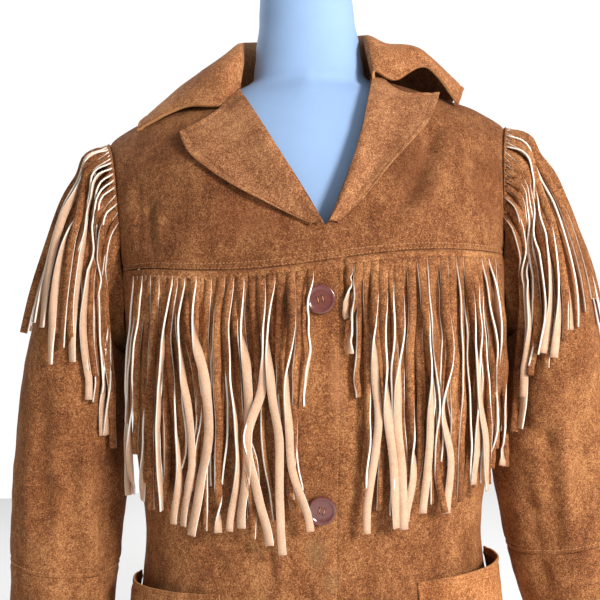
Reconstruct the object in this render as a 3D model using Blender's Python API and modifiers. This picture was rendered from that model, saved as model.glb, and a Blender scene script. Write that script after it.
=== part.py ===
"""Suede fringe jacket, fastened on a limbless dress form that stands on its flat base.

Metres, +Z up, +X to the wearer's left, the front of the jacket faces -Y. The origin is the middle of the
form's base. Each cut piece of the jacket is a thin wall lofted from the named sizes below.
"""

import math

import bmesh
import bpy
import numpy as np
from mathutils import Matrix, Vector

# Cloth and seams
WALL = 0.0016  # thickness of the suede
SEAM = 0.0003  # gap between two pieces at their seam
SIDE_GAP = 0.0003  # half the gap along the side seams and the shoulder seams
RIDGE_GAP = 0.00045  # half the gap between the yokes where they meet on the shoulder
LAP_STEP = 0.0026  # how far the right front lies over the left front

# Heights of the jacket's levels
HEM_Z = 0.051
UNDERARM_Z = 0.495
YOKE_Z = 0.567  # the yoke seam at the armholes
YOKE_WAVE = 0.006  # rise of the seam on the left chest, and its dip on the right
WAVE_LENGTH = 0.36
WAVE_START = 0.02

# Body of the jacket, one ring for each height
BODY = np.array([
    # z, half width, front depth, back depth
    (0.051, 0.200, 0.130, 0.124),
    (0.150, 0.194, 0.125, 0.119),
    (0.285, 0.178, 0.115, 0.108),
    (0.420, 0.193, 0.122, 0.113),
    (0.495, 0.201, 0.1245, 0.117),
    (0.567, 0.204, 0.125, 0.118),
])
SQUARENESS = 2.4  # exponent of the body's rounded section
SWAY = -0.013  # sideways shift of the body below the waist
SWAY_LOW_Z = 0.22
SWAY_HIGH_Z = 0.50
LAP_EDGE_X = 0.026  # front edge of the right front
UNDERLAP_X = -0.026  # front edge of the left front, below the lap
LAP_START_X = -0.062  # where the right front starts to rise over the left front
LAP_RISE = 0.03  # width over which it rises

# Shoulders: the ridge where the front and back yokes meet
NECK_X = 0.070
NECK_Z = 0.766
SHOULDER_SLOPE = 0.34
SHOULDER_DROP = 0.018  # extra fall at the sleeve head
DROP_REACH = 0.024  # how far beyond the armhole the whole extra fall is reached
ARMHOLE_X = 0.196
SHOULDER_X = 0.212
CHEST_SPREAD = 0.026  # how much the chest section widens from the seam to the ridge
FRONT_ROUND = (2.2, 1.6)  # exponents of the front yoke's curve over the chest
BACK_ROUND = (2.6, 1.6)
NECK_DIP = 0.12  # depth of the back neckline, as a share of the yoke's height

# Mesh steps shared by pieces that meet at a seam
FRONT_STEPS = 10
LOW_ROWS = 9  # rows from the hem to the underarm
ARM_ROWS = 3  # rows from the underarm to the yoke seam
YOKE_ROWS = 8
YOKE_CROWD = 1.7  # draws the yokes' rows together towards the shoulder
BACK_STEPS = 16

# Inner edges of the front yokes: share of the yoke's height, x
ROLL_RIGHT = np.array([
    (0.00, 0.026),
    (0.16, 0.011),
    (0.51, -0.028),
    (0.89, -0.066),
    (1.00, -0.070),
])
ROLL_LEFT = np.array([
    (0.00, -0.026),
    (0.15, 0.012),
    (0.20, 0.019),
    (0.47, 0.043),
    (0.68, 0.056),
    (0.94, 0.068),
    (1.00, 0.070),
])

# Lapels, from the bottom of the V to the notch edge
LAPEL_RIGHT = np.array([
    # roll x, roll z, edge x, edge z
    (0.0100, 0.6015, -0.0020, 0.6010),
    (-0.0020, 0.6220, -0.0390, 0.6200),
    (-0.0150, 0.6470, -0.0750, 0.6420),
    (-0.0300, 0.6750, -0.0990, 0.6600),
    (-0.0450, 0.7030, -0.1170, 0.6780),
    (-0.0655, 0.7410, -0.1245, 0.6960),
])
LAPEL_LEFT = np.array([
    # roll x, roll z, edge x, edge z
    (0.0145, 0.6030, 0.0240, 0.6020),
    (0.0225, 0.6180, 0.0500, 0.6240),
    (0.0345, 0.6450, 0.0740, 0.6520),
    (0.0465, 0.6770, 0.0970, 0.6750),
    (0.0575, 0.7100, 0.1180, 0.6980),
    (0.0690, 0.7450, 0.1340, 0.7280),
])
LAPEL_ROLL = 0.0055  # how far the fold of a lapel stands off the front
LAPEL_LIFT = 0.0006  # how far its outer edge stands off
NOTCH_DIP = 0.005  # how far the notch edge curves below a straight line
LAPEL_STEPS = (5, 8)

# Collar, from the end of the right leaf round the back to the end of the left leaf. The base of the stand
# lies on the neckline, so its height is worked out.
COLLAR = [
    # base x, y; fold x, y, z; near x, y, z; middle x, y, z; edge x, y, z
    (-0.0690, -0.0450, -0.0700, -0.0500, 0.7480, -0.0860, -0.0650, 0.7290,
     -0.1250, -0.0520, 0.7310, -0.1770, -0.0330, 0.7140),
    (-0.0715, -0.0230, -0.0645, -0.0320, 0.7860, -0.0840, -0.0440, 0.7760,
     -0.1240, -0.0300, 0.7570, -0.1760, -0.0060, 0.7300),
    (-0.0725, 0.0010, -0.0660, -0.0040, 0.8060, -0.0860, -0.0020, 0.7930,
     -0.1220, 0.0060, 0.7700, -0.1680, 0.0220, 0.7320),
    (-0.0600, 0.0360, -0.0560, 0.0340, 0.8170, -0.0720, 0.0500, 0.8000,
     -0.0980, 0.0760, 0.7620, -0.1280, 0.1020, 0.6980),
    (-0.0330, 0.0520, -0.0310, 0.0560, 0.8220, -0.0360, 0.0780, 0.8050,
     -0.0450, 0.1040, 0.7620, -0.0560, 0.1240, 0.6900),
    (0.0000, 0.0575, 0.0000, 0.0630, 0.8240, 0.0000, 0.0860, 0.8060,
     0.0000, 0.1100, 0.7620, 0.0000, 0.1300, 0.6880),
    (0.0330, 0.0520, 0.0310, 0.0560, 0.8220, 0.0370, 0.0780, 0.8060,
     0.0470, 0.1030, 0.7660, 0.0590, 0.1230, 0.6940),
    (0.0600, 0.0360, 0.0570, 0.0340, 0.8190, 0.0740, 0.0500, 0.8060,
     0.1020, 0.0730, 0.7820, 0.1340, 0.0950, 0.7120),
    (0.0725, 0.0010, 0.0665, -0.0040, 0.8080, 0.0880, -0.0050, 0.8000,
     0.1220, 0.0000, 0.7900, 0.1680, 0.0150, 0.7480),
    (0.0720, -0.0230, 0.0665, -0.0320, 0.7920, 0.0880, -0.0400, 0.7820,
     0.1250, -0.0240, 0.7840, 0.1660, -0.0120, 0.7420),
    (0.0710, -0.0430, 0.0720, -0.0480, 0.7610, 0.0925, -0.0460, 0.7510,
     0.1270, -0.0350, 0.7660, 0.1580, -0.0360, 0.7260),
]
COLLAR_WALL = 0.0018
COLLAR_SEAT = 0.0014  # height of the stand's lower edge above the neckline
COLLAR_STEPS = (24, 9)

# Sleeves in rings from the armhole to the cuff
SLEEVE_RIGHT = np.array([
    # inner |x|, inner z, outer |x|, outer z, half depth, y of the middle
    (0.2022, 0.4920, 0.2400, 0.6800, 0.0640, 0.0040),
    (0.2032, 0.4880, 0.2570, 0.6450, 0.0690, 0.0020),
    (0.2042, 0.4800, 0.2730, 0.5950, 0.0720, 0.0000),
    (0.2052, 0.4620, 0.2920, 0.5400, 0.0720, -0.0020),
    (0.2060, 0.4250, 0.3120, 0.4650, 0.0690, -0.0040),
    (0.2080, 0.3540, 0.3250, 0.3750, 0.0620, -0.0060),
    (0.2170, 0.2800, 0.3310, 0.2970, 0.0560, -0.0100),
    (0.2250, 0.2200, 0.3340, 0.2320, 0.0530, -0.0140),
    (0.2380, 0.1220, 0.3380, 0.1310, 0.0480, -0.0200),
])
SLEEVE_LEFT = np.array([
    # inner |x|, inner z, outer |x|, outer z, half depth, y of the middle
    (0.2022, 0.4920, 0.2400, 0.6800, 0.0640, 0.0040),
    (0.2032, 0.4880, 0.2570, 0.6450, 0.0690, 0.0020),
    (0.2042, 0.4800, 0.2730, 0.5950, 0.0720, 0.0000),
    (0.2030, 0.4620, 0.2900, 0.5400, 0.0720, -0.0020),
    (0.1960, 0.4200, 0.3030, 0.4650, 0.0690, -0.0040),
    (0.1840, 0.3500, 0.3040, 0.3750, 0.0620, -0.0060),
    (0.1900, 0.2850, 0.3070, 0.3000, 0.0560, -0.0100),
    (0.2030, 0.2200, 0.3160, 0.2350, 0.0530, -0.0140),
    (0.2310, 0.1220, 0.3350, 0.1330, 0.0480, -0.0200),
])
ARMHOLE_GAP = 0.0006  # gap between a sleeve's first ring and the armhole's edge
HEAD_KEEP = (0.55, 0.2)  # how much the next two rings keep of the armhole's shape
PIECING = 7.45  # ring number of the seam between the sleeve's upper and lower lengths
UPPER_ROWS = 11
LOWER_ROWS = 3

# Patch pockets
# front panel's steps from and to, bottom z, top z at the inner and the outer end
POCKET_RIGHT = (3.3, 9.4, 0.085, 0.251, 0.252)
POCKET_LEFT = (3.6, 9.4, 0.085, 0.254, 0.262)
POCKET_BULGE = 0.0030
POCKET_GAPE = (0.011, 0.016)  # opening of the right and left mouths at the outer end

# Fringe solids
FRINGE_WALL = 0.0024
FRINGE_RIGHT = (-0.184, -0.016, 0.306)  # x from, x to, z of the ends
FRINGE_LEFT = (0.030, 0.188, 0.315)
FRINGE_CLEAR = 0.0035  # extra clearance of the fringe where the body turns to the side
FRINGE_TOP = 0.004  # distance of the solids' upper edge below the yoke seam
FRINGE_GRID = (10, 5)
FRINGE_HANG = 0.55  # 1 hangs straight down from the seam, 0 follows the body
SLEEVE_FRINGE = (4, 18, 0.4, 8)  # first and last step round the sleeve, first and last row

# Buttons
BUTTON_RADIUS = 0.014
BUTTON_THICK = 0.0042
BUTTON_RIM = 0.0022  # width of the raised rim
BUTTON_DISH = 0.0011  # depth of the middle below the rim
HOLE_RADIUS = 0.0013
HOLE_PITCH = 0.0046
SEAT_REACH = 0.012  # where the cloth's rise is felt round a button's middle
SEAT_SHARE = 0.3  # how much of that rise lifts the button
BUTTONS = [(0.004, 0.530), (-0.003, 0.331), (-0.008, 0.132)]  # x, z of each

# Dress form
FORM = np.array([
    # z, half width, half depth
    (0.000, 0.156, 0.098),
    (0.012, 0.162, 0.103),
    (0.060, 0.164, 0.105),
    (0.140, 0.160, 0.102),
    (0.285, 0.134, 0.090),
    (0.420, 0.158, 0.105),
    (0.500, 0.168, 0.110),
    (0.567, 0.172, 0.110),
    (0.640, 0.182, 0.108),
    (0.690, 0.188, 0.108),
])
NECK = np.array([
    # z, half width, half depth
    (0.745, 0.072, 0.049),
    (0.770, 0.0595, 0.045),
    (0.795, 0.0560, 0.046),
    (0.830, 0.0510, 0.046),
    (0.860, 0.0490, 0.046),
    (0.894, 0.0490, 0.046),
    (0.900, 0.0460, 0.044),
])
FORM_UNDER = 0.0032  # how far the form's shoulder lies below the ridge of the jacket
NECK_SHIFT = 0.005
FORM_STEPS = 28

SUEDE = (0.335, 0.145, 0.065)
SUEDE_PALE = (0.660, 0.440, 0.270)
HORN = (0.110, 0.030, 0.026)
JERSEY = (0.400, 0.610, 0.850)


def smooth(t):
    """Eased step from 0 to 1."""
    t = min(max(t, 0.0), 1.0)
    return t * t * (3 - 2 * t)


def eased(table, at):
    """The values of a table at one place, eased between its rows. The first column rises."""
    if at <= table[0][0]:
        return table[0][1:]
    for low, high in zip(table, table[1:]):
        if at <= high[0]:
            share = smooth((at - low[0]) / (high[0] - low[0]))
            return low[1:] + (high[1:] - low[1:]) * share
    return table[-1][1:]


def spline(rows, at):
    """A point on the smooth curve through the rows, where at runs from 0 to the last row's number."""
    last = len(rows) - 1
    i = min(int(at), last - 1)
    t = at - i
    p0, p1, p2, p3 = (rows[min(max(i + k, 0), last)] for k in (-1, 0, 1, 2))
    bend = 2 * p0 - 5 * p1 + 4 * p2 - p3
    return 0.5 * (2 * p1 + (p2 - p0) * t + bend * t**2 + (3 * p1 - 3 * p2 + p3 - p0) * t**3)


def sway(z):
    return SWAY * (1 - smooth((z - SWAY_LOW_Z) / (SWAY_HIGH_Z - SWAY_LOW_Z)))


def seam_z(x):
    """Height of the front yoke seam, which waves a little across the chest."""
    turn = 2 * math.pi * (x - WAVE_START) / WAVE_LENGTH
    return YOKE_Z + YOKE_WAVE * math.sin(min(max(turn, -math.pi), math.pi))


def ridge_z(x):
    """Height of the shoulder line above x."""
    out = abs(x) - NECK_X
    drop = SHOULDER_DROP * (max(out, 0) / (ARMHOLE_X - NECK_X + DROP_REACH)) ** 6
    return NECK_Z - SHOULDER_SLOPE * out - drop


def section(share):
    """Depth of the body's rounded section at a share of its half width."""
    return max(0.0, 1 - min(abs(share), 1.0) ** SQUARENESS) ** (1 / SQUARENESS)


def over_shoulder(t, rounding):
    """How much of the chest's depth is left at a share of the way up to the ridge."""
    n, m = rounding
    return max(0.0, 1 - min(max(t, 0.0), 1.0) ** n) ** (1 / m)


def wall_y(x, z, back=False):
    """y of the jacket's outer surface, in front or behind."""
    base = YOKE_Z if back else seam_z(x)
    if z <= base:
        half, front, rear = eased(BODY, z)
        depth = (rear if back else front) * section((x - sway(z)) / half)
    else:
        t = (z - base) / (ridge_z(x) - base)
        half, front, rear = BODY[-1][1:]
        depth = (rear if back else front) * section(x / (half + CHEST_SPREAD * t))
        depth *= over_shoulder(t, BACK_ROUND if back else FRONT_ROUND)
    return depth if back else -depth


def off_front(x, z, away):
    """A point at a distance straight out from the front of the jacket."""
    step = 0.0015
    slope_x = (wall_y(x + step, z) - wall_y(x - step, z)) / (2 * step)
    slope_z = (wall_y(x, z + step) - wall_y(x, z - step)) / (2 * step)
    normal = Vector((slope_x, -1.0, slope_z)).normalized()
    return Vector((x, wall_y(x, z), z)) + normal * away


def top_z(x, y):
    """Height of the yokes above a place in plan."""
    back = y > 0
    base = YOKE_Z if back else seam_z(x)
    n, m = BACK_ROUND if back else FRONT_ROUND
    half, front, rear = BODY[-1][1:]
    t = 1.0
    for _ in range(12):
        depth = (rear if back else front) * section(x / (half + CHEST_SPREAD * t))
        t = max(0.0, 1 - min(abs(y) / depth, 1.0) ** m) ** (1 / n)
    return base + t * (ridge_z(x) - base)


def ring_point(angle, z, back=False):
    """A point on the body's section: angle 0 is the left side, pi the right side."""
    half, front, rear = eased(BODY, z)
    depth = rear if back else front
    cos, sin = math.cos(angle), math.sin(angle)
    x = half * math.copysign(abs(cos) ** (2 / SQUARENESS), cos)
    y = depth * abs(sin) ** (2 / SQUARENESS)
    side = 1 if back else -1
    return Vector((x + sway(z), side * (y + SIDE_GAP), z))


def angle_of(x, z):
    """The section angle of a place x on the front at height z."""
    share = (x - sway(z)) / eased(BODY, z)[0]
    return math.acos(math.copysign(abs(share) ** (SQUARENESS / 2), share))


def armhole_angle(z, back=False):
    """How far the armhole has cut into the side at height z, as a section angle."""
    if z <= UNDERARM_Z:
        return 0.0
    up = min(1.0, (z - UNDERARM_Z) / (YOKE_Z - UNDERARM_Z))
    return angle_of(ARMHOLE_X, YOKE_Z) * math.sqrt(up * (2 - up))


def row_z(row):
    """Height of a row of the lower fronts and back: from the hem to the underarm, then to the seam."""
    if row <= LOW_ROWS:
        return HEM_Z + (UNDERARM_Z - HEM_Z) * row / LOW_ROWS
    return UNDERARM_Z + (YOKE_Z - UNDERARM_Z) * (row - LOW_ROWS) / ARM_ROWS


def lap(x, z, side):
    """How far a front stands off because the right one lies over the left one."""
    return LAP_STEP * smooth((x - sway(z) - LAP_START_X) / LAP_RISE) if side < 0 else 0.0


def low_front(side, step, row):
    """A point of a lower front: step 0 is its front edge, row 0 its hem."""
    z = row_z(row)
    edge_x = (LAP_EDGE_X if side < 0 else UNDERLAP_X) + sway(z)
    arm = armhole_angle(z)
    end = math.pi - arm if side < 0 else arm
    angle = angle_of(edge_x, z)
    angle += (end - angle) * step / FRONT_STEPS
    point = ring_point(angle, z)
    rise = seam_z(point.x) - YOKE_Z
    share = smooth((z - UNDERARM_Z) / (YOKE_Z - UNDERARM_Z))
    lapped = lap(point.x, z, side)
    top = SEAM / 2 if row == LOW_ROWS + ARM_ROWS else 0.0
    return Vector((point.x, point.y - lapped, z + rise * share - top))


def yoke_share(row):
    """Share of the yoke's height at a row."""
    return 1 - (1 - row / YOKE_ROWS) ** YOKE_CROWD


def armhole_x(t):
    return ARMHOLE_X + (SHOULDER_X - ARMHOLE_X) * t**4


def yoke_front(side, step, row):
    """A point of a front yoke: step 0 is its inner edge, row 0 the seam, the last row the shoulder."""
    t = yoke_share(row)
    table = ROLL_RIGHT if side < 0 else ROLL_LEFT
    inner = float(np.interp(t, table[:, 0], table[:, 1]))
    outer = side * armhole_x(t)
    seam_edges = [low_front(side, k, LOW_ROWS + ARM_ROWS).x for k in (0, step, FRONT_STEPS)]
    share_low = (seam_edges[1] - seam_edges[0]) / (seam_edges[2] - seam_edges[0])
    share = share_low + (step / FRONT_STEPS - share_low) * t
    x = inner + (outer - inner) * share
    low = seam_z(x)
    z = low + t * (ridge_z(x) - low)
    y = wall_y(x, z) - RIDGE_GAP - lap(x, z, side) * (1 - smooth((t - 0.1) / 0.25))
    return Vector((x, y, z + (SEAM / 2 if row == 0 else 0.0)))


def low_back(step, row):
    """A point of the lower back: step 0 is its left side."""
    z = row_z(row)
    arm = armhole_angle(z)
    angle = arm + (math.pi - 2 * arm) * step / BACK_STEPS
    point = ring_point(angle, z, back=True)
    return point - Vector((0, 0, SEAM / 2 if row == LOW_ROWS + ARM_ROWS else 0.0))


def yoke_back(step, row):
    """A point of the back yoke: step 0 is its left armhole, the last row the shoulders and the neckline."""
    share_up = yoke_share(row)
    seam_edges = [low_back(k, LOW_ROWS + ARM_ROWS).x for k in (0, step, BACK_STEPS)]
    share_low = (seam_edges[1] - seam_edges[0]) / (seam_edges[2] - seam_edges[0])
    share = share_low + (step / BACK_STEPS - share_low) * share_up
    outer = armhole_x(share_up)
    x = outer * (1 - 2 * share)
    inside = max(0.0, 1 - (x / NECK_X) ** 2)
    t = share_up * (1 - NECK_DIP * inside)
    z = YOKE_Z + t * (ridge_z(x) - YOKE_Z)
    return Vector((x, wall_y(x, z, back=True) + RIDGE_GAP, z + (SEAM / 2 if row == 0 else 0.0)))


def armhole_ring(side):
    """The armhole's edge as points: underarm, up the front to the shoulder, down the back."""
    ring = [low_front(side, FRONT_STEPS, LOW_ROWS + k) for k in range(ARM_ROWS)]
    ring += [yoke_front(side, FRONT_STEPS, k) for k in range(YOKE_ROWS + 1)]
    back_step = 0 if side > 0 else BACK_STEPS
    ring += [yoke_back(back_step, k) for k in range(YOKE_ROWS - 1, -1, -1)]
    ring += [low_back(back_step, LOW_ROWS + k) for k in range(ARM_ROWS - 1, 0, -1)]
    return [p + Vector((side * ARMHOLE_GAP, 0, 0)) for p in ring]


def sleeve_rings(side):
    """All rings of a sleeve, the armhole first, as arrays with the same number of points."""
    table = SLEEVE_RIGHT if side < 0 else SLEEVE_LEFT
    armhole = np.array(armhole_ring(side))
    count = len(armhole)
    rings = [armhole]
    for inner_x, inner_z, outer_x, outer_z, depth, middle_y in table:
        middle = np.array((side * (inner_x + outer_x) / 2, middle_y, (inner_z + outer_z) / 2))
        reach = np.array((side * (outer_x - inner_x) / 2, 0, (outer_z - inner_z) / 2))
        angles = 2 * math.pi * np.arange(count) / count
        oval = middle - np.outer(np.cos(angles), reach) - np.outer(np.sin(angles), (0, depth, 0))
        rings.append(oval)
    for k, keep in enumerate(HEAD_KEEP, 1):
        shift = rings[k].mean(axis=0) - armhole.mean(axis=0)
        rings[k] = rings[k] * (1 - keep) + (armhole + shift) * keep
    return rings


def sleeve_point(rings, around, ring):
    """A point of the sleeve: around counts its steps from the underarm, ring runs to the cuff."""
    count = len(rings[0])
    columns = [rows[around % count] for rows in rings]
    return Vector(spline(columns, ring))


def finish(bm, name, colour, roughness, wall=0.0, offset=-1.0):
    """Makes the object for a mesh, with its material and, for cloth, its thickness."""
    mesh = bpy.data.meshes.new(name)
    bm.to_mesh(mesh)
    bm.free()
    mesh.shade_smooth()
    material = bpy.data.materials.new(name)
    material.use_nodes = True
    shader = material.node_tree.nodes["Principled BSDF"]
    shader.inputs["Base Color"].default_value = (*colour, 1)
    shader.inputs["Roughness"].default_value = roughness
    shader.inputs["Metallic"].default_value = 0.0
    mesh.materials.append(material)
    obj = bpy.data.objects.new(name, mesh)
    parts.objects.link(obj)
    if wall:
        solidify = obj.modifiers.new("Wall", "SOLIDIFY")
        solidify.thickness = wall
        solidify.offset = offset
        solidify.use_even_offset = False
    return obj


def grid(steps, rows, place, closed=False, flip=False):
    """A grid of quads whose points are placed by their step and row."""
    bm = bmesh.new()
    bmesh.ops.create_grid(bm, x_segments=steps, y_segments=rows, size=0.5)
    for vertex in bm.verts:
        step = round((vertex.co.x + 0.5) * steps)
        row = round((vertex.co.y + 0.5) * rows)
        vertex.co = place(step, row)
    if closed:
        bmesh.ops.remove_doubles(bm, verts=bm.verts, dist=1e-6)
    if flip:
        bmesh.ops.reverse_faces(bm, faces=bm.faces)
    return bm


def make_fronts():
    for side, word in ((-1, "right"), (1, "left")):
        def low(step, row, side=side):
            return low_front(side, step, row)

        def yoke(step, row, side=side):
            return yoke_front(side, step, row)

        bm = grid(FRONT_STEPS, LOW_ROWS + ARM_ROWS, low, flip=side < 0)
        finish(bm, f"front_{word}", SUEDE, 0.95, WALL)
        bm = grid(FRONT_STEPS, YOKE_ROWS, yoke, flip=side < 0)
        finish(bm, f"yoke_front_{word}", SUEDE, 0.95, WALL)


def make_back():
    finish(grid(BACK_STEPS, LOW_ROWS + ARM_ROWS, low_back), "back", SUEDE, 0.95, WALL)
    finish(grid(BACK_STEPS, YOKE_ROWS, yoke_back), "yoke_back", SUEDE, 0.95, WALL)


def make_lapels():
    steps, rows = LAPEL_STEPS
    for side, word, table in ((-1, "right", LAPEL_RIGHT), (1, "left", LAPEL_LEFT)):
        def place(step, row, side=side, table=table):
            v = row / rows
            roll_x, roll_z, edge_x, edge_z = spline(table, v * (len(table) - 1))
            u = step / steps
            x = roll_x + (edge_x - roll_x) * u
            dip = NOTCH_DIP * math.sin(math.pi * u) * smooth((v - 0.7) / 0.3)
            z = roll_z + (edge_z - roll_z) * u - dip
            lift = LAPEL_LIFT + LAPEL_ROLL * (1 - u) ** 2 * smooth((u + 0.12) / 0.3)
            return off_front(x, z, lap(x, z, side) + SEAM + lift + WALL)

        finish(grid(steps, rows, place, flip=side < 0), f"lapel_{word}", SUEDE, 0.95, WALL)


def make_collar():
    steps, rows = COLLAR_STEPS
    stations = []
    for row in COLLAR:
        base = (row[0], row[1], top_z(row[0], row[1]) + COLLAR_SEAT)
        stations.append(np.array([base, row[2:5], row[5:8], row[8:11], row[11:14]]))

    def place(step, row):
        across = spline(stations, step / steps * (len(stations) - 1))
        return Vector(spline(list(across), row / rows * (len(across) - 1)))

    finish(grid(steps, rows, place), "collar", SUEDE, 0.95, COLLAR_WALL, 0.0)


def make_sleeves():
    for side, word in ((-1, "right"), (1, "left")):
        rings = sleeve_rings(side)
        count = len(rings[0])
        last = len(rings) - 1

        def upper(step, row, rings=rings):
            return sleeve_point(rings, step, PIECING * row / UPPER_ROWS - 0.002 * (row == UPPER_ROWS))

        def lower(step, row, rings=rings, last=last):
            start = PIECING + 0.005
            return sleeve_point(rings, step, start + (last - start) * row / LOWER_ROWS)

        bm = grid(count, UPPER_ROWS, upper, closed=True, flip=side > 0)
        finish(bm, f"sleeve_upper_{word}", SUEDE, 0.95, WALL)
        bm = grid(count, LOWER_ROWS, lower, closed=True, flip=side > 0)
        finish(bm, f"sleeve_lower_{word}", SUEDE, 0.95, WALL)


def on_sleeve(rings, step, row):
    """A point of a sleeve's upper length between its own rows."""
    low = min(int(row), UPPER_ROWS - 1)
    ends = [sleeve_point(rings, step, PIECING * k / UPPER_ROWS) for k in (low, low + 1)]
    return ends[0].lerp(ends[1], row - low)


def make_sleeve_fringe():
    first, end, low, high = SLEEVE_FRINGE
    rows = [low, *range(1, high + 1)]
    for side, word in ((-1, "right"), (1, "left")):
        rings = sleeve_rings(side)

        def place(step, row, rings=rings, side=side):
            around = first + step
            here = on_sleeve(rings, around, rows[row])
            across = on_sleeve(rings, around + 1, rows[row]) - on_sleeve(rings, around - 1, rows[row])
            above = on_sleeve(rings, around, max(rows[row] - 0.5, 0))
            down = on_sleeve(rings, around, rows[row] + 0.5) - above
            normal = across.cross(down).normalized() * -side
            return here + normal * (2 * SEAM + FRINGE_WALL)

        bm = grid(end - first, len(rows) - 1, place, flip=side > 0)
        finish(bm, f"fringe_sleeve_{word}", SUEDE_PALE, 0.95, FRINGE_WALL)


def make_front_fringe():
    steps, rows = FRINGE_GRID
    for side, word, sizes in ((-1, "right", FRINGE_RIGHT), (1, "left", FRINGE_LEFT)):
        start, end, low = sizes

        def place(step, row, side=side, start=start, end=end, low=low):
            x = start + (end - start) * step / steps
            top = seam_z(x) - FRINGE_TOP
            z = top + (low - top) * row / rows
            body = min(wall_y(x, z), wall_y(x, top))
            y = FRINGE_HANG * min(body, wall_y(x, top)) + (1 - FRINGE_HANG) * body
            clear = SEAM * 3 + FRINGE_CLEAR * (abs(x) / ARMHOLE_X) ** 6
            return Vector((x, y - lap(x, z, side) - clear - FRINGE_WALL, z))

        finish(grid(steps, rows, place, flip=True), f"fringe_front_{word}", SUEDE_PALE, 0.95, FRINGE_WALL)


def between(points, low, high):
    """The low and high ends of a span with every whole number between them."""
    inner = [k for k in points if low + 0.2 < k < high - 0.2]
    return [low, *inner, high]


def on_panel(side, step, row, away):
    """A point of a lower front between its own grid points, moved straight out."""
    s0, r0 = min(int(step), FRONT_STEPS - 1), int(row)
    corners = [low_front(side, s0 + i, r0 + j) for j in (0, 1) for i in (0, 1)]
    low = corners[0].lerp(corners[1], step - s0)
    high = corners[2].lerp(corners[3], step - s0)
    along = (corners[1] - corners[0]).lerp(corners[3] - corners[2], row - r0)
    normal = along.cross(high - low).normalized() * side
    return low.lerp(high, row - r0) + normal * away


def make_pockets():
    for side, word, sizes, gape in (
        (-1, "right", POCKET_RIGHT, POCKET_GAPE[0]),
        (1, "left", POCKET_LEFT, POCKET_GAPE[1]),
    ):
        steps = between(range(FRONT_STEPS), sizes[0], sizes[1])
        row_height = (UNDERARM_Z - HEM_Z) / LOW_ROWS
        bottom, top_in, top_out = ((z - HEM_Z) / row_height for z in sizes[2:])
        rows = between(range(LOW_ROWS), bottom, top_in)

        def place(step, row, side=side, steps=steps, rows=rows, rise=top_out - top_in, gape=gape):
            u = (steps[step] - steps[0]) / (steps[-1] - steps[0])
            v = (rows[row] - rows[0]) / (rows[-1] - rows[0])
            bulge = POCKET_BULGE * math.sin(math.pi * u) * smooth(v / 0.3)
            open_out = gape * smooth((v - 0.3) / 0.7) * math.sin(math.pi * u**1.5)
            lift = rise * u * (row == len(rows) - 1)
            return on_panel(side, steps[step], rows[row] + lift, 2 * SEAM + WALL + bulge + open_out)

        bm = grid(len(steps) - 1, len(rows) - 1, place, flip=side < 0)
        finish(bm, f"pocket_{word}", SUEDE, 0.95, WALL)


def make_buttons():
    """A turned disc with a raised rim, with four holes cut through it."""
    profile = [
        (0.0, BUTTON_THICK - BUTTON_DISH),
        (BUTTON_RADIUS - 2 * BUTTON_RIM, BUTTON_THICK - BUTTON_DISH),
        (BUTTON_RADIUS - 1.3 * BUTTON_RIM, BUTTON_THICK),
        (BUTTON_RADIUS - 0.5 * BUTTON_RIM, BUTTON_THICK),
        (BUTTON_RADIUS, BUTTON_THICK * 0.62),
        (BUTTON_RADIUS * 0.93, BUTTON_THICK * 0.25),
        (BUTTON_RADIUS * 0.80, 0.0),
        (0.0, 0.0),
    ]
    for number, (x, z) in enumerate(BUTTONS, 1):
        bm = bmesh.new()
        line = [bm.verts.new((r, 0, h)) for r, h in profile]
        edges = [bm.edges.new(pair) for pair in zip(line, line[1:])]
        bmesh.ops.spin(
            bm,
            geom=line + edges,
            cent=(0, 0, 0),
            axis=(0, 0, 1),
            angle=2 * math.pi,
            steps=18,
            use_merge=True,
        )
        bmesh.ops.remove_doubles(bm, verts=bm.verts, dist=1e-6)
        bmesh.ops.recalc_face_normals(bm, faces=bm.faces)
        around = (-SEAT_REACH, 0, SEAT_REACH)
        rise = wall_y(x, z) - min(wall_y(x + dx, z + dz) for dx in around for dz in around)
        tilt = -math.atan2(wall_y(x, z + SEAT_REACH) - wall_y(x, z - SEAT_REACH), 2 * SEAT_REACH)
        button = finish(bm, f"button_{number}", HORN, 0.25)
        button.location = (x, wall_y(x, z) - LAP_STEP - 2 * SEAM - rise * SEAT_SHARE, z)
        button.rotation_euler = (math.radians(90) + tilt, 0, 0)
        cut_holes(button, number)


def cut_holes(button, number):
    bm = bmesh.new()
    for sx in (-1, 1):
        for sy in (-1, 1):
            place = Matrix.Translation((sx * HOLE_PITCH / 2, sy * HOLE_PITCH / 2, BUTTON_THICK / 2))
            bmesh.ops.create_cone(
                bm,
                cap_ends=True,
                segments=8,
                radius1=HOLE_RADIUS,
                radius2=HOLE_RADIUS,
                depth=3 * BUTTON_THICK,
                matrix=place,
            )
    mesh = bpy.data.meshes.new(f"holes_{number}")
    bm.to_mesh(mesh)
    bm.free()
    holes = bpy.data.objects.new(f"holes_{number}", mesh)
    cutters.objects.link(holes)
    holes.parent = button
    holes.hide_render = True
    holes.display_type = "WIRE"
    cut = button.modifiers.new("Holes", "BOOLEAN")
    cut.object = holes
    cut.solver = "EXACT"


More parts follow.
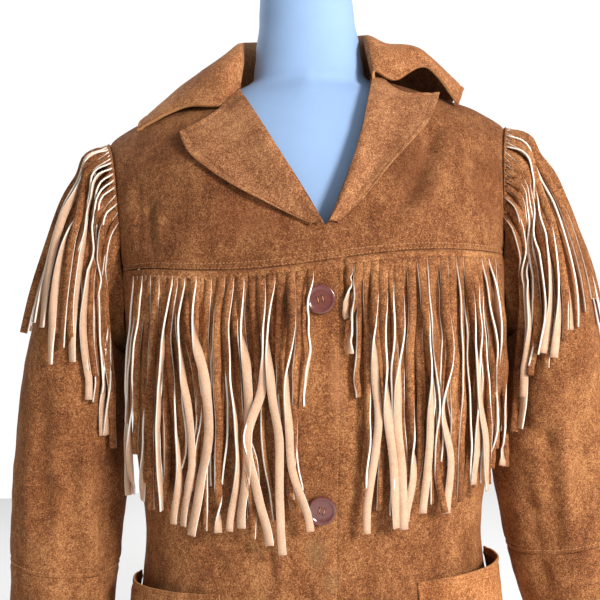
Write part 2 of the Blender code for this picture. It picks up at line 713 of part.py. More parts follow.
def form_ring(z):
    """One level of the dress form: under the shoulders its ends close where the ridge meets the level."""
    half, depth = eased(FORM, z)
    if ridge_z(half) - FORM_UNDER < z:
        low, high = 0.0, half
        for _ in range(40):
            mid = (low + high) / 2
            low, high = (mid, high) if ridge_z(mid) - FORM_UNDER > z else (low, mid)
        half = low
    neck_half, neck_depth = eased(NECK, z)
    share = smooth((z - NECK[0][0]) / (NECK[1][0] - NECK[0][0]))
    ring = []
    for k in range(FORM_STEPS):
        angle = 2 * math.pi * k / FORM_STEPS
        cos, sin = math.cos(angle), math.sin(angle)
        x = half * math.copysign(abs(cos) ** (2 / SQUARENESS), cos)
        t = (z - YOKE_Z) / (ridge_z(x) - FORM_UNDER - YOKE_Z)
        rounding = BACK_ROUND if sin > 0 else FRONT_ROUND
        y = depth * math.copysign(abs(sin) ** (2 / SQUARENESS), sin) * over_shoulder(t, rounding)
        neck = np.array((neck_half * cos + NECK_SHIFT, neck_depth * sin, z))
        ring.append(np.array((x, y, z)) * (1 - share) + neck * share)
    return ring


def make_form():
    """Rings from the flat base to the top of the neck, bridged, with flat ends."""
    levels = [0.0, 0.012, 0.06, 0.14, 0.21, 0.285, 0.36, 0.43, 0.50, 0.57, 0.62, 0.66]
    levels += [0.69, 0.71, 0.728, 0.742, 0.752, 0.761, 0.772, 0.785, 0.80, 0.825, 0.86, 0.894, 0.90]
    rings = [form_ring(z) for z in levels]

    def place(step, row):
        return Vector(rings[row][step % FORM_STEPS])

    bm = grid(FORM_STEPS, len(levels) - 1, place, closed=True)
    bmesh.ops.holes_fill(bm, edges=[e for e in bm.edges if e.is_boundary], sides=0)
    bmesh.ops.recalc_face_normals(bm, faces=bm.faces)
    finish(bm, "dress_form", JERSEY, 0.7)


def collection(name):
    made = bpy.data.collections.new(name)
    bpy.context.scene.collection.children.link(made)
    return made


for old in list(bpy.data.objects):
    bpy.data.objects.remove(old)
parts = collection("suede_fringe_jacket")
cutters = collection("cutters")
cutters.hide_render = True
make_form()
make_fronts()
make_back()
make_lapels()
make_collar()
make_sleeves()
make_sleeve_fringe()
make_front_fringe()
make_pockets()
make_buttons()
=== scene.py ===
import math

import bmesh
import bpy
import numpy as np
from mathutils import Matrix, Vector, noise


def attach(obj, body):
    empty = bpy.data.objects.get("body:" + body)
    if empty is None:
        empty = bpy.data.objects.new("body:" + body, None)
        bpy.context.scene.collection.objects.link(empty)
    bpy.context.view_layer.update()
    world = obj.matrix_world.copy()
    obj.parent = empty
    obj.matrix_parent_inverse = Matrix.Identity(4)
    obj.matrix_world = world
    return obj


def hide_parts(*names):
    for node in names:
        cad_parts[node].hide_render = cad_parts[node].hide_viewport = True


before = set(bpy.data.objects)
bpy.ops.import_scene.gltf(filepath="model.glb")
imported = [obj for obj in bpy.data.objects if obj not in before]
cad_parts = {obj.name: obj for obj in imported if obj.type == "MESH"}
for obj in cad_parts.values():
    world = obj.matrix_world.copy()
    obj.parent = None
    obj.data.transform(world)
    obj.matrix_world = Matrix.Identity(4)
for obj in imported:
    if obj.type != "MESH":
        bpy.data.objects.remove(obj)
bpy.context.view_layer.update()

bl_info = {
    "name": "Suede Fringe Jacket",
    "version": (1, 0, 0),
    "blender": (4, 5, 0),
    "location": "View3D > Sidebar > Jacket",
    "description": "Builds the visible pieces of a suede fringe jacket on a dress form",
    "category": "Object",
}

# ---------------------------------------------------------------- sizes shared with the CAD solids, in metres
SEAM = 0.0003
SEW_GAP = 0.00008  # sewn edges meet closer here than the solids do, so that no light comes through
SIDE_GAP = 0.0003
RIDGE_GAP = 0.00045
LAP_STEP = 0.0026
HEM_Z, UNDERARM_Z, YOKE_Z = 0.051, 0.495, 0.567
YOKE_WAVE, WAVE_LENGTH, WAVE_START = 0.006, 0.36, 0.02
BODY = np.array([
    # z, half width, front depth, back depth
    (0.051, 0.2, 0.13, 0.124),
    (0.15, 0.194, 0.125, 0.119),
    (0.285, 0.178, 0.115, 0.108),
    (0.42, 0.193, 0.122, 0.113),
    (0.495, 0.201, 0.1245, 0.117),
    (0.567, 0.204, 0.125, 0.118),
])
SQUARENESS = 2.4
SWAY, SWAY_LOW_Z, SWAY_HIGH_Z = -0.013, 0.22, 0.5
LAP_EDGE_X, UNDERLAP_X = 0.026, -0.026
NECK_X, NECK_Z = 0.07, 0.766
SHOULDER_SLOPE, SHOULDER_DROP = 0.34, 0.018
ARMHOLE_X, SHOULDER_X = 0.196, 0.212
CHEST_SPREAD = 0.026
FRONT_ROUND, BACK_ROUND = (2.2, 1.6), (2.6, 1.6)
NECK_DIP = 0.12
FRONT_STEPS, BACK_STEPS = 10, 16
LOW_ROWS, ARM_ROWS, YOKE_ROWS, YOKE_CROWD = 9, 3, 8, 1.7
ROLL_RIGHT = np.array([(0.0, 0.026), (0.16, 0.011), (0.51, -0.028), (0.89, -0.066), (1.0, -0.07)])
ROLL_LEFT = np.array([
    (0.0, -0.026), (0.15, 0.012), (0.2, 0.019), (0.47, 0.043), (0.68, 0.056), (0.94, 0.068), (1.0, 0.07),
])
LAPEL_RIGHT = np.array([
    # roll x, roll z, edge x, edge z
    (0.01, 0.6015, -0.002, 0.601),
    (-0.002, 0.622, -0.039, 0.62),
    (-0.015, 0.647, -0.075, 0.642),
    (-0.03, 0.675, -0.099, 0.66),
    (-0.045, 0.703, -0.117, 0.678),
    (-0.0655, 0.741, -0.1245, 0.696),
])
LAPEL_LEFT = np.array([
    # roll x, roll z, edge x, edge z
    (0.0145, 0.603, 0.024, 0.602),
    (0.0225, 0.618, 0.05, 0.624),
    (0.0345, 0.645, 0.074, 0.652),
    (0.0465, 0.677, 0.097, 0.675),
    (0.0575, 0.71, 0.118, 0.698),
    (0.069, 0.745, 0.134, 0.728),
])
LAPEL_ROLL, NOTCH_DIP = 0.0055, 0.005
COLLAR = [
    # base x, y; fold x, y, z; near x, y, z; middle x, y, z; edge x, y, z
    (-0.069, -0.045, -0.07, -0.05, 0.748, -0.086, -0.065, 0.729,
     -0.125, -0.052, 0.731, -0.177, -0.033, 0.714),
    (-0.0715, -0.023, -0.0645, -0.032, 0.786, -0.084, -0.044, 0.776,
     -0.124, -0.03, 0.757, -0.176, -0.006, 0.73),
    (-0.0725, 0.001, -0.066, -0.004, 0.806, -0.086, -0.002, 0.793,
     -0.122, 0.006, 0.77, -0.168, 0.022, 0.732),
    (-0.06, 0.036, -0.056, 0.034, 0.817, -0.072, 0.05, 0.8,
     -0.098, 0.076, 0.762, -0.128, 0.102, 0.698),
    (-0.033, 0.052, -0.031, 0.056, 0.822, -0.036, 0.078, 0.805,
     -0.045, 0.104, 0.762, -0.056, 0.124, 0.69),
    (0.0, 0.0575, 0.0, 0.063, 0.824, 0.0, 0.086, 0.806,
     0.0, 0.11, 0.762, 0.0, 0.13, 0.688),
    (0.033, 0.052, 0.031, 0.056, 0.822, 0.037, 0.078, 0.806,
     0.047, 0.103, 0.766, 0.059, 0.123, 0.694),
    (0.06, 0.036, 0.057, 0.034, 0.819, 0.074, 0.05, 0.806,
     0.102, 0.073, 0.782, 0.134, 0.095, 0.712),
    (0.0725, 0.001, 0.0665, -0.004, 0.808, 0.088, -0.005, 0.8,
     0.122, 0.0, 0.79, 0.168, 0.015, 0.748),
    (0.072, -0.023, 0.0665, -0.032, 0.792, 0.088, -0.04, 0.782,
     0.125, -0.024, 0.784, 0.166, -0.012, 0.742),
    (0.071, -0.043, 0.072, -0.048, 0.761, 0.0925, -0.046, 0.751,
     0.127, -0.035, 0.766, 0.158, -0.036, 0.726),
]
COLLAR_SEAT = 0.0014
SLEEVE_HEAD = [
    # inner |x|, inner z, outer |x|, outer z, half depth, y of the middle
    (0.2022, 0.492, 0.24, 0.68, 0.064, 0.004),
    (0.2032, 0.488, 0.257, 0.645, 0.069, 0.002),
    (0.2042, 0.48, 0.273, 0.595, 0.072, 0.0),
]
SLEEVE_RIGHT = np.array([
    *SLEEVE_HEAD,
    (0.2052, 0.462, 0.292, 0.54, 0.072, -0.002),
    (0.206, 0.425, 0.312, 0.465, 0.069, -0.004),
    (0.208, 0.354, 0.325, 0.375, 0.062, -0.006),
    (0.217, 0.28, 0.331, 0.297, 0.056, -0.01),
    (0.225, 0.22, 0.334, 0.232, 0.053, -0.014),
    (0.238, 0.122, 0.338, 0.131, 0.048, -0.02),
])
SLEEVE_LEFT = np.array([
    *SLEEVE_HEAD,
    (0.203, 0.462, 0.29, 0.54, 0.072, -0.002),
    (0.196, 0.42, 0.303, 0.465, 0.069, -0.004),
    (0.184, 0.35, 0.304, 0.375, 0.062, -0.006),
    (0.19, 0.285, 0.307, 0.3, 0.056, -0.01),
    (0.203, 0.22, 0.316, 0.235, 0.053, -0.014),
    (0.231, 0.122, 0.335, 0.133, 0.048, -0.02),
])
ARMHOLE_GAP = 0.0003
PIECING = 7.45
POCKET_RIGHT = (3.3, 9.4, 0.085, 0.251, 0.252)
POCKET_LEFT = (3.6, 9.4, 0.085, 0.254, 0.262)
POCKET_BULGE = 0.003
POCKET_GAPE = (0.011, 0.016)
FRINGE_HANG, FRINGE_CLEAR = 0.55, 0.0035
BUTTON_RADIUS, BUTTON_THICK, BUTTON_RIM, BUTTON_DISH = 0.014, 0.0042, 0.0022, 0.0011
HOLE_RADIUS, HOLE_PITCH = 0.0013, 0.0046
BUTTONS = [(0.004, 0.53), (-0.003, 0.331), (-0.008, 0.132)]
FORM = np.array([
    # z, half width, half depth
    (0.0, 0.156, 0.098), (0.012, 0.162, 0.103), (0.06, 0.164, 0.105), (0.14, 0.16, 0.102),
    (0.285, 0.134, 0.09), (0.42, 0.158, 0.105), (0.5, 0.168, 0.11), (0.567, 0.172, 0.11),
    (0.64, 0.182, 0.108), (0.69, 0.188, 0.108),
])
NECK = np.array([
    # z, half width, half depth
    (0.745, 0.072, 0.049), (0.77, 0.0595, 0.045), (0.795, 0.056, 0.046), (0.83, 0.051, 0.046),
    (0.86, 0.049, 0.046), (0.894, 0.049, 0.046), (0.9, 0.046, 0.044),
])
FORM_UNDER, NECK_SHIFT = 0.0032, 0.005

# ---------------------------------------------------------------- creases placed one by one, in millimetres
# x and z of each end seen from the front, width, depth (below 0 a trough)
FRONT_CREASES = [
    # the left chest: a fold that follows the lapel, and one beside the armhole
    (122, 693, 116, 664, 8, -4.2), (116, 664, 87, 616, 7, -4.6), (87, 616, 66, 598, 6, -2.4),
    (136, 690, 132, 650, 11, 3.2), (132, 650, 102, 610, 9, 2.6), (161, 686, 166, 640, 7, -3.6),
    (166, 640, 184, 612, 6, -2.8), (176, 660, 184, 636, 6, 1.8), (150, 610, 120, 590, 12, 1.0),
    (60, 590, 110, 578, 9, -0.8),
    # the right chest: two short folds at the armhole, and drag lines from the lapel's point
    (-162, 640, -157, 578, 6, -2.6), (-173, 655, -170, 590, 5, -1.8), (-150, 625, -146, 590, 6, 1.2),
    (-120, 668, -76, 606, 16, 1.4), (-140, 612, -60, 585, 13, -1.2),
    # the fronts under the fringe, down to the pockets
    (35, 500, 47, 342, 9, -2.4), (56, 520, 60, 350, 11, 1.5), (-124, 300, -97, 279, 6, -2.2),
    (-130, 284, -104, 268, 6, 1.2), (-57, 312, -52, 258, 5, -2.0), (-47, 318, -44, 262, 6, 1.4),
    (-150, 330, -128, 300, 8, -1.8), (84, 330, 98, 268, 8, -1.6), (150, 340, 128, 300, 9, -1.6),
    (-90, 420, -82, 310, 14, 1.6), (120, 430, 110, 320, 14, 1.6), (-18, 300, -22, 200, 7, -1.2),
    # the skirt below the pockets
    (-60, 200, -70, 58, 12, -2.6), (-36, 180, -40, 55, 10, 1.8), (58, 220, 70, 60, 13, -2.8),
    (36, 190, 40, 60, 9, 1.6), (-150, 120, -158, 55, 12, -2.0), (146, 130, 158, 56, 12, -2.2),
    (104, 110, 110, 54, 9, 1.6), (-108, 110, -114, 54, 9, 1.5),
    # the right sleeve: long folds down the front, drag lines at the elbow
    (-212, 470, -208, 370, 6, -2.6), (-222, 380, -226, 230, 7, -3.4), (-236, 400, -240, 250, 6, 2.2),
    (-250, 390, -262, 210, 9, -3.4), (-276, 460, -284, 300, 10, -3.0), (-296, 420, -302, 290, 8, 2.0),
    (-222, 420, -268, 372, 7, -2.4), (-216, 340, -262, 306, 7, -2.0), (-306, 372, -268, 344, 7, -1.8),
    (-240, 600, -262, 500, 11, 1.8), (-222, 560, -232, 480, 8, -2.0), (-312, 250, -306, 150, 8, -2.0),
    # the left sleeve
    (210, 470, 204, 390, 6, -2.6), (206, 330, 224, 220, 7, -3.2), (226, 400, 232, 260, 8, -2.8),
    (240, 390, 250, 240, 7, 2.2), (262, 450, 262, 300, 10, -3.0), (284, 410, 286, 280, 8, 1.8),
    (198, 400, 246, 360, 7, -2.4), (200, 318, 246, 290, 7, -2.0), (296, 366, 256, 338, 7, -1.8),
    (232, 600, 250, 500, 11, 1.8), (218, 560, 226, 480, 8, -2.0), (296, 240, 308, 150, 8, -2.0),
    # the collar's leaves
    (-150, 742, -100, 764, 8, -1.2), (-96, 770, -80, 742, 9, 0.9), (100, 776, 132, 774, 6, -1.0),
]
BACK_CREASES = [
    # the back, made like the front
    (-120, 540, -96, 380, 14, -2.6), (112, 545, 92, 370, 13, -2.4), (-60, 480, -48, 330, 12, 1.6),
    (40, 470, 46, 320, 13, 1.5), (-150, 360, -96, 318, 9, -2.6), (144, 352, 90, 312, 9, -2.4),
    (-130, 330, -70, 300, 8, 1.4), (120, 322, 60, 296, 8, 1.3), (-90, 240, -104, 56, 15, -3.0),
    (-30, 260, -34, 56, 13, -2.2), (36, 250, 44, 56, 14, -2.6), (96, 240, 112, 56, 15, -2.8),
    (0, 200, 3, 56, 10, 1.8), (-66, 180, -74, 58, 10, 1.8), (70, 180, 80, 58, 11, 1.8),
    (-170, 650, -150, 575, 9, -2.2), (168, 655, 150, 578, 9, -2.0), (-60, 690, 60, 694, 9, -1.4),
    (-40, 640, -30, 575, 12, 1.0), (56, 650, 44, 578, 12, 1.0),
    # the backs of the sleeves
    (-230, 560, -250, 420, 10, -3.0), (-270, 520, -288, 380, 10, -2.6), (-220, 380, -290, 340, 8, -3.0),
    (-224, 350, -280, 322, 8, 1.8), (-240, 300, -262, 150, 9, -2.4), (-290, 300, -306, 160, 9, -2.2),
    (226, 560, 240, 420, 10, -3.0), (262, 520, 276, 380, 10, -2.6), (200, 382, 280, 342, 8, -3.0),
    (206, 352, 266, 322, 8, 1.8), (224, 300, 256, 150, 9, -2.4), (272, 300, 296, 160, 9, -2.2),
]
CREASES = [(*row, side) for side, rows in ((-1, FRONT_CREASES), (1, BACK_CREASES)) for row in rows]

# ---------------------------------------------------------------- fringe strands, in millimetres and degrees
# x at the seam, z of the end, width, lift, sideways shift at five places down, turn at the same places
STRANDS_RIGHT = [
    (-181, 338, 7.5, 1, (-4, -9, -14, -17, -18), (20, 45, 30, 100, 160)),
    (-171, 340, 7.5, 2, (-6, -12, -16, -20, -21), (10, 20, 10, 70, 165)),
    (-162, 338, 7.5, 1, (-3, -7, -10, -13, -17), (-15, -10, 20, 60, 170)),
    (-153, 332, 7.0, 2, (-4, -8, -12, -14, -16), (-35, -50, -40, -55, -45)),
    (-146, 345, 7.0, 0, (-3, -5, -6, -8, -9), (0, 15, 10, 20, 10)),
    (-139, 333, 7.0, 3, (-6, -13, -17, -19, -18), (62, 75, 80, 70, 60)),
    (-134, 320, 8.0, 2, (-7, -8, -6, -3, -12), (10, 0, 40, 110, 175)),
    (-127, 319, 7.5, 3, (-5, -1, 3, 1, -9), (50, 100, 150, 170, 180)),
    (-117, 311, 9.5, 4, (1, 9, 10, 1, -11), (85, 165, 180, 188, 180)),
    (-109, 322, 7.5, 0, (-2, -4, -7, -8, -10), (10, -15, -20, 12, 8)),
    (-101, 315, 7.5, 1, (-4, -7, -9, -11, -14), (12, -12, -22, 10, 20)),
    (-89, 314, 8.0, 2, (-4, -6, -7, -10, -13), (-38, -32, -28, -45, 150)),
    (-80, 316, 7.5, 3, (-5, -4, 0, -1, -10), (20, 50, 85, 130, 175)),
    (-71, 319, 9.0, 4, (0, 4, 3, -2, -8), (80, 170, 182, 186, 180)),
    (-65, 330, 7.0, 0, (-2, -3, -6, -8, -9), (0, 10, -20, 5, 10)),
    (-59, 309, 7.5, 3, (2, 2, -14, -8, -11), (0, 12, 66, -38, 24)),
    (-51, 303, 9.0, 4, (0, -1, -19, -11, -2), (60, 160, 172, 182, 180)),
    (-41, 294, 8.5, 4, (-6, -4, 1, -1, 0), (80, 168, 182, 174, 182)),
    (-32, 325, 8.0, 1, (-3, -5, -8, -10, -12), (5, -22, 0, 24, 12)),
    (-23, 315, 8.0, 4, (-1, -7, -8, -3, 9), (20, 90, 155, 182, 180)),
    (-14, 345, 7.5, 2, (-3, -6, -10, -14, -17), (-24, -34, -20, 12, 40)),
    (-4, 432, 6.5, 3, (-3, -4, -4, -9, -12), (72, 84, 90, 96, 85)),
]
STRANDS_LEFT = [
    (33, 511, 6.5, 1, (-1, -2, -4, -6, -5), (30, 60, 120, 165, 180)),
    (41, 478, 7.0, 2, (-2, -4, -8, -11, -12), (-20, -45, -70, -100, -150)),
    (49, 352, 7.0, 1, (-2, -3, -4, -6, -10), (-10, 20, 40, 60, 90)),
    (57, 309, 8.0, 3, (-4, -5, -4, -13, -19), (50, 160, 180, 174, 186)),
    (65, 313, 8.5, 4, (-3, -4, -2, 1, 1), (28, 90, 175, 182, 150)),
    (71, 325, 7.0, 2, (-1, -2, -3, -5, -7), (66, 100, 112, 100, 94)),
    (78, 311, 9.0, 4, (-1, -3, -7, -5, -5), (30, 120, 178, 182, 180)),
    (85, 330, 7.0, 0, (-1, -2, -3, -5, -7), (-10, 10, 20, 5, 10)),
    (91, 317, 8.0, 2, (-1, -6, -7, -6, -15), (5, 0, 40, 150, 182)),
    (101, 324, 8.0, 3, (1, 2, 3, -1, -8), (10, 80, 165, 180, 182)),
    (111, 322, 7.5, 2, (-2, 1, 1, -3, 3), (-44, -32, -54, -22, 34)),
    (117, 335, 7.0, 0, (-1, 0, -2, -3, -4), (10, 0, -10, 10, 10)),
    (123, 321, 8.0, 3, (0, 1, -7, -1, -7), (40, 60, 132, 175, 180)),
    (132, 325, 9.0, 1, (-1, -2, -4, -6, -8), (0, 12, -12, 0, 12)),
    (140, 329, 7.5, 2, (0, -1, -3, -6, -9), (-34, -44, -22, 0, 24)),
    (147, 336, 7.5, 3, (2, 4, 8, 12, 13), (55, 120, 170, 182, 168)),
    (153, 344, 7.0, 3, (2, 3, 2, -2, -7), (70, 110, 165, 178, 180)),
    (159, 341, 6.5, 1, (1, 3, 5, 5, 4), (64, 78, 86, 80, 72)),
    (167, 356, 7.5, 2, (4, 9, 10, 6, 0), (-24, -38, 22, -42, 62)),
    (175, 353, 7.5, 3, (3, 6, 7, 8, 8), (-60, -40, 100, 172, 180)),
    (183, 350, 7.5, 1, (2, 4, 6, 7, 6), (15, 30, 20, -30, -20)),
]


def srgb(code):
    """A colour written as a hex code, turned to linear values."""
    parts = [int(code[i:i + 2], 16) / 255 for i in (1, 3, 5)]
    return tuple(p / 12.92 if p <= 0.04045 else ((p + 0.055) / 1.055) ** 2.4 for p in parts)


# ================================================================ surfaces, matching the CAD solids in model.glb
def smooth(t):
    t = min(max(t, 0.0), 1.0)
    return t * t * (3 - 2 * t)


def eased(table, at):
    if at <= table[0][0]:
        return table[0][1:]
    for low, high in zip(table, table[1:]):
        if at <= high[0]:
            return low[1:] + (high[1:] - low[1:]) * smooth((at - low[0]) / (high[0] - low[0]))
    return table[-1][1:]


def spline(rows, at):
    """A point on the smooth curve through the rows."""
    last = len(rows) - 1
    i = min(int(at), last - 1)
    return catmull(*(rows[min(max(i + k, 0), last)] for k in (-1, 0, 1, 2)), at - i)


def catmull(p0, p1, p2, p3, t):
    return 0.5 * (2 * p1 + (p2 - p0) * t + (2 * p0 - 5 * p1 + 4 * p2 - p3) * t**2
                  + (3 * p1 - 3 * p2 + p3 - p0) * t**3)


def sway(z):
    return SWAY * (1 - smooth((z - SWAY_LOW_Z) / (SWAY_HIGH_Z - SWAY_LOW_Z)))


def seam_z(x):
    turn = 2 * math.pi * (x - WAVE_START) / WAVE_LENGTH
    return YOKE_Z + YOKE_WAVE * math.sin(min(max(turn, -math.pi), math.pi))


def ridge_z(x):
    out = abs(x) - NECK_X
    return NECK_Z - SHOULDER_SLOPE * out - SHOULDER_DROP * (max(out, 0) / (ARMHOLE_X - NECK_X + 0.024)) ** 6


def section(share):
    return max(0.0, 1 - min(abs(share), 1.0) ** SQUARENESS) ** (1 / SQUARENESS)


def over_shoulder(t, rounding):
    n, m = rounding
    return max(0.0, 1 - min(max(t, 0.0), 1.0) ** n) ** (1 / m)


def wall_y(x, z, back=False):
    """y of the jacket's outer surface, in front or behind."""
    base = YOKE_Z if back else seam_z(x)
    if z <= base:
        half, front, rear = eased(BODY, z)
        depth = (rear if back else front) * section((x - sway(z)) / half)
    else:
        t = (z - base) / (ridge_z(x) - base)
        half, front, rear = BODY[-1][1:]
        depth = (rear if back else front) * section(x / (half + CHEST_SPREAD * t))
        depth *= over_shoulder(t, BACK_ROUND if back else FRONT_ROUND)
    return depth if back else -depth


def off_front(x, z, away):
    step = 0.0015
    slope_x = (wall_y(x + step, z) - wall_y(x - step, z)) / (2 * step)
    slope_z = (wall_y(x, z + step) - wall_y(x, z - step)) / (2 * step)
    return Vector((x, wall_y(x, z), z)) + Vector((slope_x, -1.0, slope_z)).normalized() * away


def top_z(x, y):
    back = y > 0
    base = YOKE_Z if back else seam_z(x)
    n, m = BACK_ROUND if back else FRONT_ROUND
    half, front, rear = BODY[-1][1:]
    t = 1.0
    for _ in range(12):
        depth = (rear if back else front) * section(x / (half + CHEST_SPREAD * t))
        t = max(0.0, 1 - min(abs(y) / depth, 1.0) ** m) ** (1 / n)
    return base + t * (ridge_z(x) - base)


def ring_point(angle, z, back=False):
    half, front, rear = eased(BODY, z)
    cos, sin = math.cos(angle), math.sin(angle)
    x = half * math.copysign(abs(cos) ** (2 / SQUARENESS), cos)
    y = (rear if back else front) * abs(sin) ** (2 / SQUARENESS)
    return Vector((x + sway(z), (1 if back else -1) * (y + SIDE_GAP), z))


def angle_of(x, z):
    share = (x - sway(z)) / eased(BODY, z)[0]
    return math.acos(math.copysign(abs(share) ** (SQUARENESS / 2), share))


def armhole_angle(z):
    if z <= UNDERARM_Z:
        return 0.0
    up = min(1.0, (z - UNDERARM_Z) / (YOKE_Z - UNDERARM_Z))
    return angle_of(ARMHOLE_X, YOKE_Z) * math.sqrt(up * (2 - up))


def row_z(row):
    if row <= LOW_ROWS:
        return HEM_Z + (UNDERARM_Z - HEM_Z) * row / LOW_ROWS
    return UNDERARM_Z + (YOKE_Z - UNDERARM_Z) * (row - LOW_ROWS) / ARM_ROWS


def lap(x, z, side):
    return LAP_STEP * smooth((x - sway(z) + 0.062) / 0.03) if side < 0 else 0.0


def low_front(side, step, row):
    z = row_z(row)
    edge_x = (LAP_EDGE_X if side < 0 else UNDERLAP_X) + sway(z)
    arm = armhole_angle(z)
    end = math.pi - arm if side < 0 else arm
    angle = angle_of(edge_x, z)
    point = ring_point(angle + (end - angle) * step / FRONT_STEPS, z)
    rise = (seam_z(point.x) - YOKE_Z) * smooth((z - UNDERARM_Z) / (YOKE_Z - UNDERARM_Z))
    top = SEW_GAP / 2 if row == LOW_ROWS + ARM_ROWS else 0.0
    return Vector((point.x, point.y - lap(point.x, z, side), z + rise - top))


def yoke_share(row):
    return 1 - (1 - row / YOKE_ROWS) ** YOKE_CROWD


def armhole_x(t):
    return ARMHOLE_X + (SHOULDER_X - ARMHOLE_X) * t**4


def yoke_front(side, step, row):
    t = yoke_share(row)
    table = ROLL_RIGHT if side < 0 else ROLL_LEFT
    inner = float(np.interp(t, table[:, 0], table[:, 1]))
    outer = side * armhole_x(t)
    seam = [low_front(side, k, LOW_ROWS + ARM_ROWS).x for k in (0, step, FRONT_STEPS)]
    share_low = (seam[1] - seam[0]) / (seam[2] - seam[0])
    x = inner + (outer - inner) * (share_low + (step / FRONT_STEPS - share_low) * t)
    low = seam_z(x)
    z = low + t * (ridge_z(x) - low)
    y = wall_y(x, z) - RIDGE_GAP - lap(x, z, side) * (1 - smooth((t - 0.1) / 0.25))
    return Vector((x, y, z + (SEW_GAP / 2 if row == 0 else 0.0)))


def low_back(step, row):
    z = row_z(row)
    arm = armhole_angle(z)
    point = ring_point(arm + (math.pi - 2 * arm) * step / BACK_STEPS, z, back=True)
    return point - Vector((0, 0, SEW_GAP / 2 if row == LOW_ROWS + ARM_ROWS else 0.0))


def yoke_back(step, row):
    share_up = yoke_share(row)
    seam = [low_back(k, LOW_ROWS + ARM_ROWS).x for k in (0, step, BACK_STEPS)]
    share_low = (seam[1] - seam[0]) / (seam[2] - seam[0])
    x = armhole_x(share_up) * (1 - 2 * (share_low + (step / BACK_STEPS - share_low) * share_up))
    inside = max(0.0, 1 - (x / NECK_X) ** 2)
    z = YOKE_Z + share_up * (1 - NECK_DIP * inside) * (ridge_z(x) - YOKE_Z)
    return Vector((x, wall_y(x, z, back=True) + RIDGE_GAP, z + (SEW_GAP / 2 if row == 0 else 0.0)))


def armhole_ring(side):
    ring = [low_front(side, FRONT_STEPS, LOW_ROWS + k) for k in range(ARM_ROWS)]
    ring += [yoke_front(side, FRONT_STEPS, k) for k in range(YOKE_ROWS + 1)]
    back_step = 0 if side > 0 else BACK_STEPS
    ring += [yoke_back(back_step, k) for k in range(YOKE_ROWS - 1, -1, -1)]
    ring += [low_back(back_step, LOW_ROWS + k) for k in range(ARM_ROWS - 1, 0, -1)]
    return [p + Vector((side * ARMHOLE_GAP, 0, 0)) for p in ring]


def sleeve_rings(side):
    armhole = np.array(armhole_ring(side))
    count = len(armhole)
    rings = [armhole]
    for inner_x, inner_z, outer_x, outer_z, depth, middle_y in SLEEVE_RIGHT if side < 0 else SLEEVE_LEFT:
        middle = np.array((side * (inner_x + outer_x) / 2, middle_y, (inner_z + outer_z) / 2))
        reach = np.array((side * (outer_x - inner_x) / 2, 0, (outer_z - inner_z) / 2))
        angles = 2 * math.pi * np.arange(count) / count
        rings.append(middle - np.outer(np.cos(angles), reach) - np.outer(np.sin(angles), (0, depth, 0)))
    for k, keep in ((1, 0.55), (2, 0.2)):
        shift = rings[k].mean(axis=0) - armhole.mean(axis=0)
        rings[k] = rings[k] * (1 - keep) + (armhole + shift) * keep
    return rings


def sleeve_at(rings, around, ring):
    """A point of the sleeve at any place round it and along it."""
    count = len(rings[0])
    level = spline(rings, ring)
    i = math.floor(around)
    p0, p1, p2, p3 = (level[(i + k) % count] for k in (-1, 0, 1, 2))
    return Vector(catmull(p0, p1, p2, p3, around - i))


def form_ring(z, steps):
    half, depth = eased(FORM, z)
    if ridge_z(half) - FORM_UNDER < z:
        low, high = 0.0, half
        for _ in range(40):
            mid = (low + high) / 2
            low, high = (mid, high) if ridge_z(mid) - FORM_UNDER > z else (low, mid)
        half = low
    neck_half, neck_depth = eased(NECK, z)
    share = smooth((z - NECK[0][0]) / (NECK[1][0] - NECK[0][0]))
    ring = []
    for k in range(steps):
        cos, sin = math.cos(2 * math.pi * k / steps), math.sin(2 * math.pi * k / steps)
        x = half * math.copysign(abs(cos) ** (2 / SQUARENESS), cos)
        t = (z - YOKE_Z) / (ridge_z(x) - FORM_UNDER - YOKE_Z)
        y = depth * math.copysign(abs(sin) ** (2 / SQUARENESS), sin)
        y *= over_shoulder(t, BACK_ROUND if sin > 0 else FRONT_ROUND)
        neck = np.array((neck_half * cos + NECK_SHIFT, neck_depth * sin, z))
        ring.append(np.array((x, y, z)) * (1 - share) + neck * share)
    return ring


# ================================================================ relief of the worn suede
CREASE_DEPTH = 1.55  # how strongly the table's creases are pressed in
WORN_HEIGHT, WORN_SIZE = 0.0019, 0.050  # the worn hide's unevenness: height, and the size of its swells
SEAM_DIP = (0.0, 0.0020, 0.0009)  # place from the edge, width and depth of the groove at a seam
STITCH_INSET = 0.0062  # from an edge to its topstitching
STITCH_DIP = (STITCH_INSET, 0.0016, 0.0011)
SEAM_QUIET, SEAM_KEEP = 0.012, 0.15  # the relief fades over this distance to this share at a seam


def crease_relief(points):
    """Height of the creases at an array of points, in metres."""
    total = np.zeros(len(points))
    for x1, z1, x2, z2, width, depth, face in CREASES:
        a, b = np.array((x1, z1)) / 1000, np.array((x2, z2)) / 1000
        run = b - a
        rel = points[:, (0, 2)] - a
        along = rel @ run / (run @ run)
        near = rel - np.outer(np.clip(along, 0, 1), run)
        gone = np.hypot(near[:, 0], near[:, 1]) / (width / 1000)
        fade = np.clip(1 - np.abs(2 * along - 1) ** 3 * 0.7, 0, 1)
        here = np.clip(face * points[:, 1] / 0.012, 0, 1)
        total += CREASE_DEPTH * depth / 1000 * np.exp(-gone**2) * fade * here
    return total


def soft_relief(points, wave=WORN_HEIGHT, size=WORN_SIZE):
    """Gentle unevenness of worn hide, seeded by place."""
    out = []
    for p in points:
        v = Vector(p)
        fine = noise.noise(v / (size * 0.36) + Vector((7, 3, 5))) * wave * 0.38
        out.append(noise.noise(v / size) * wave + fine)
    return np.array(out)


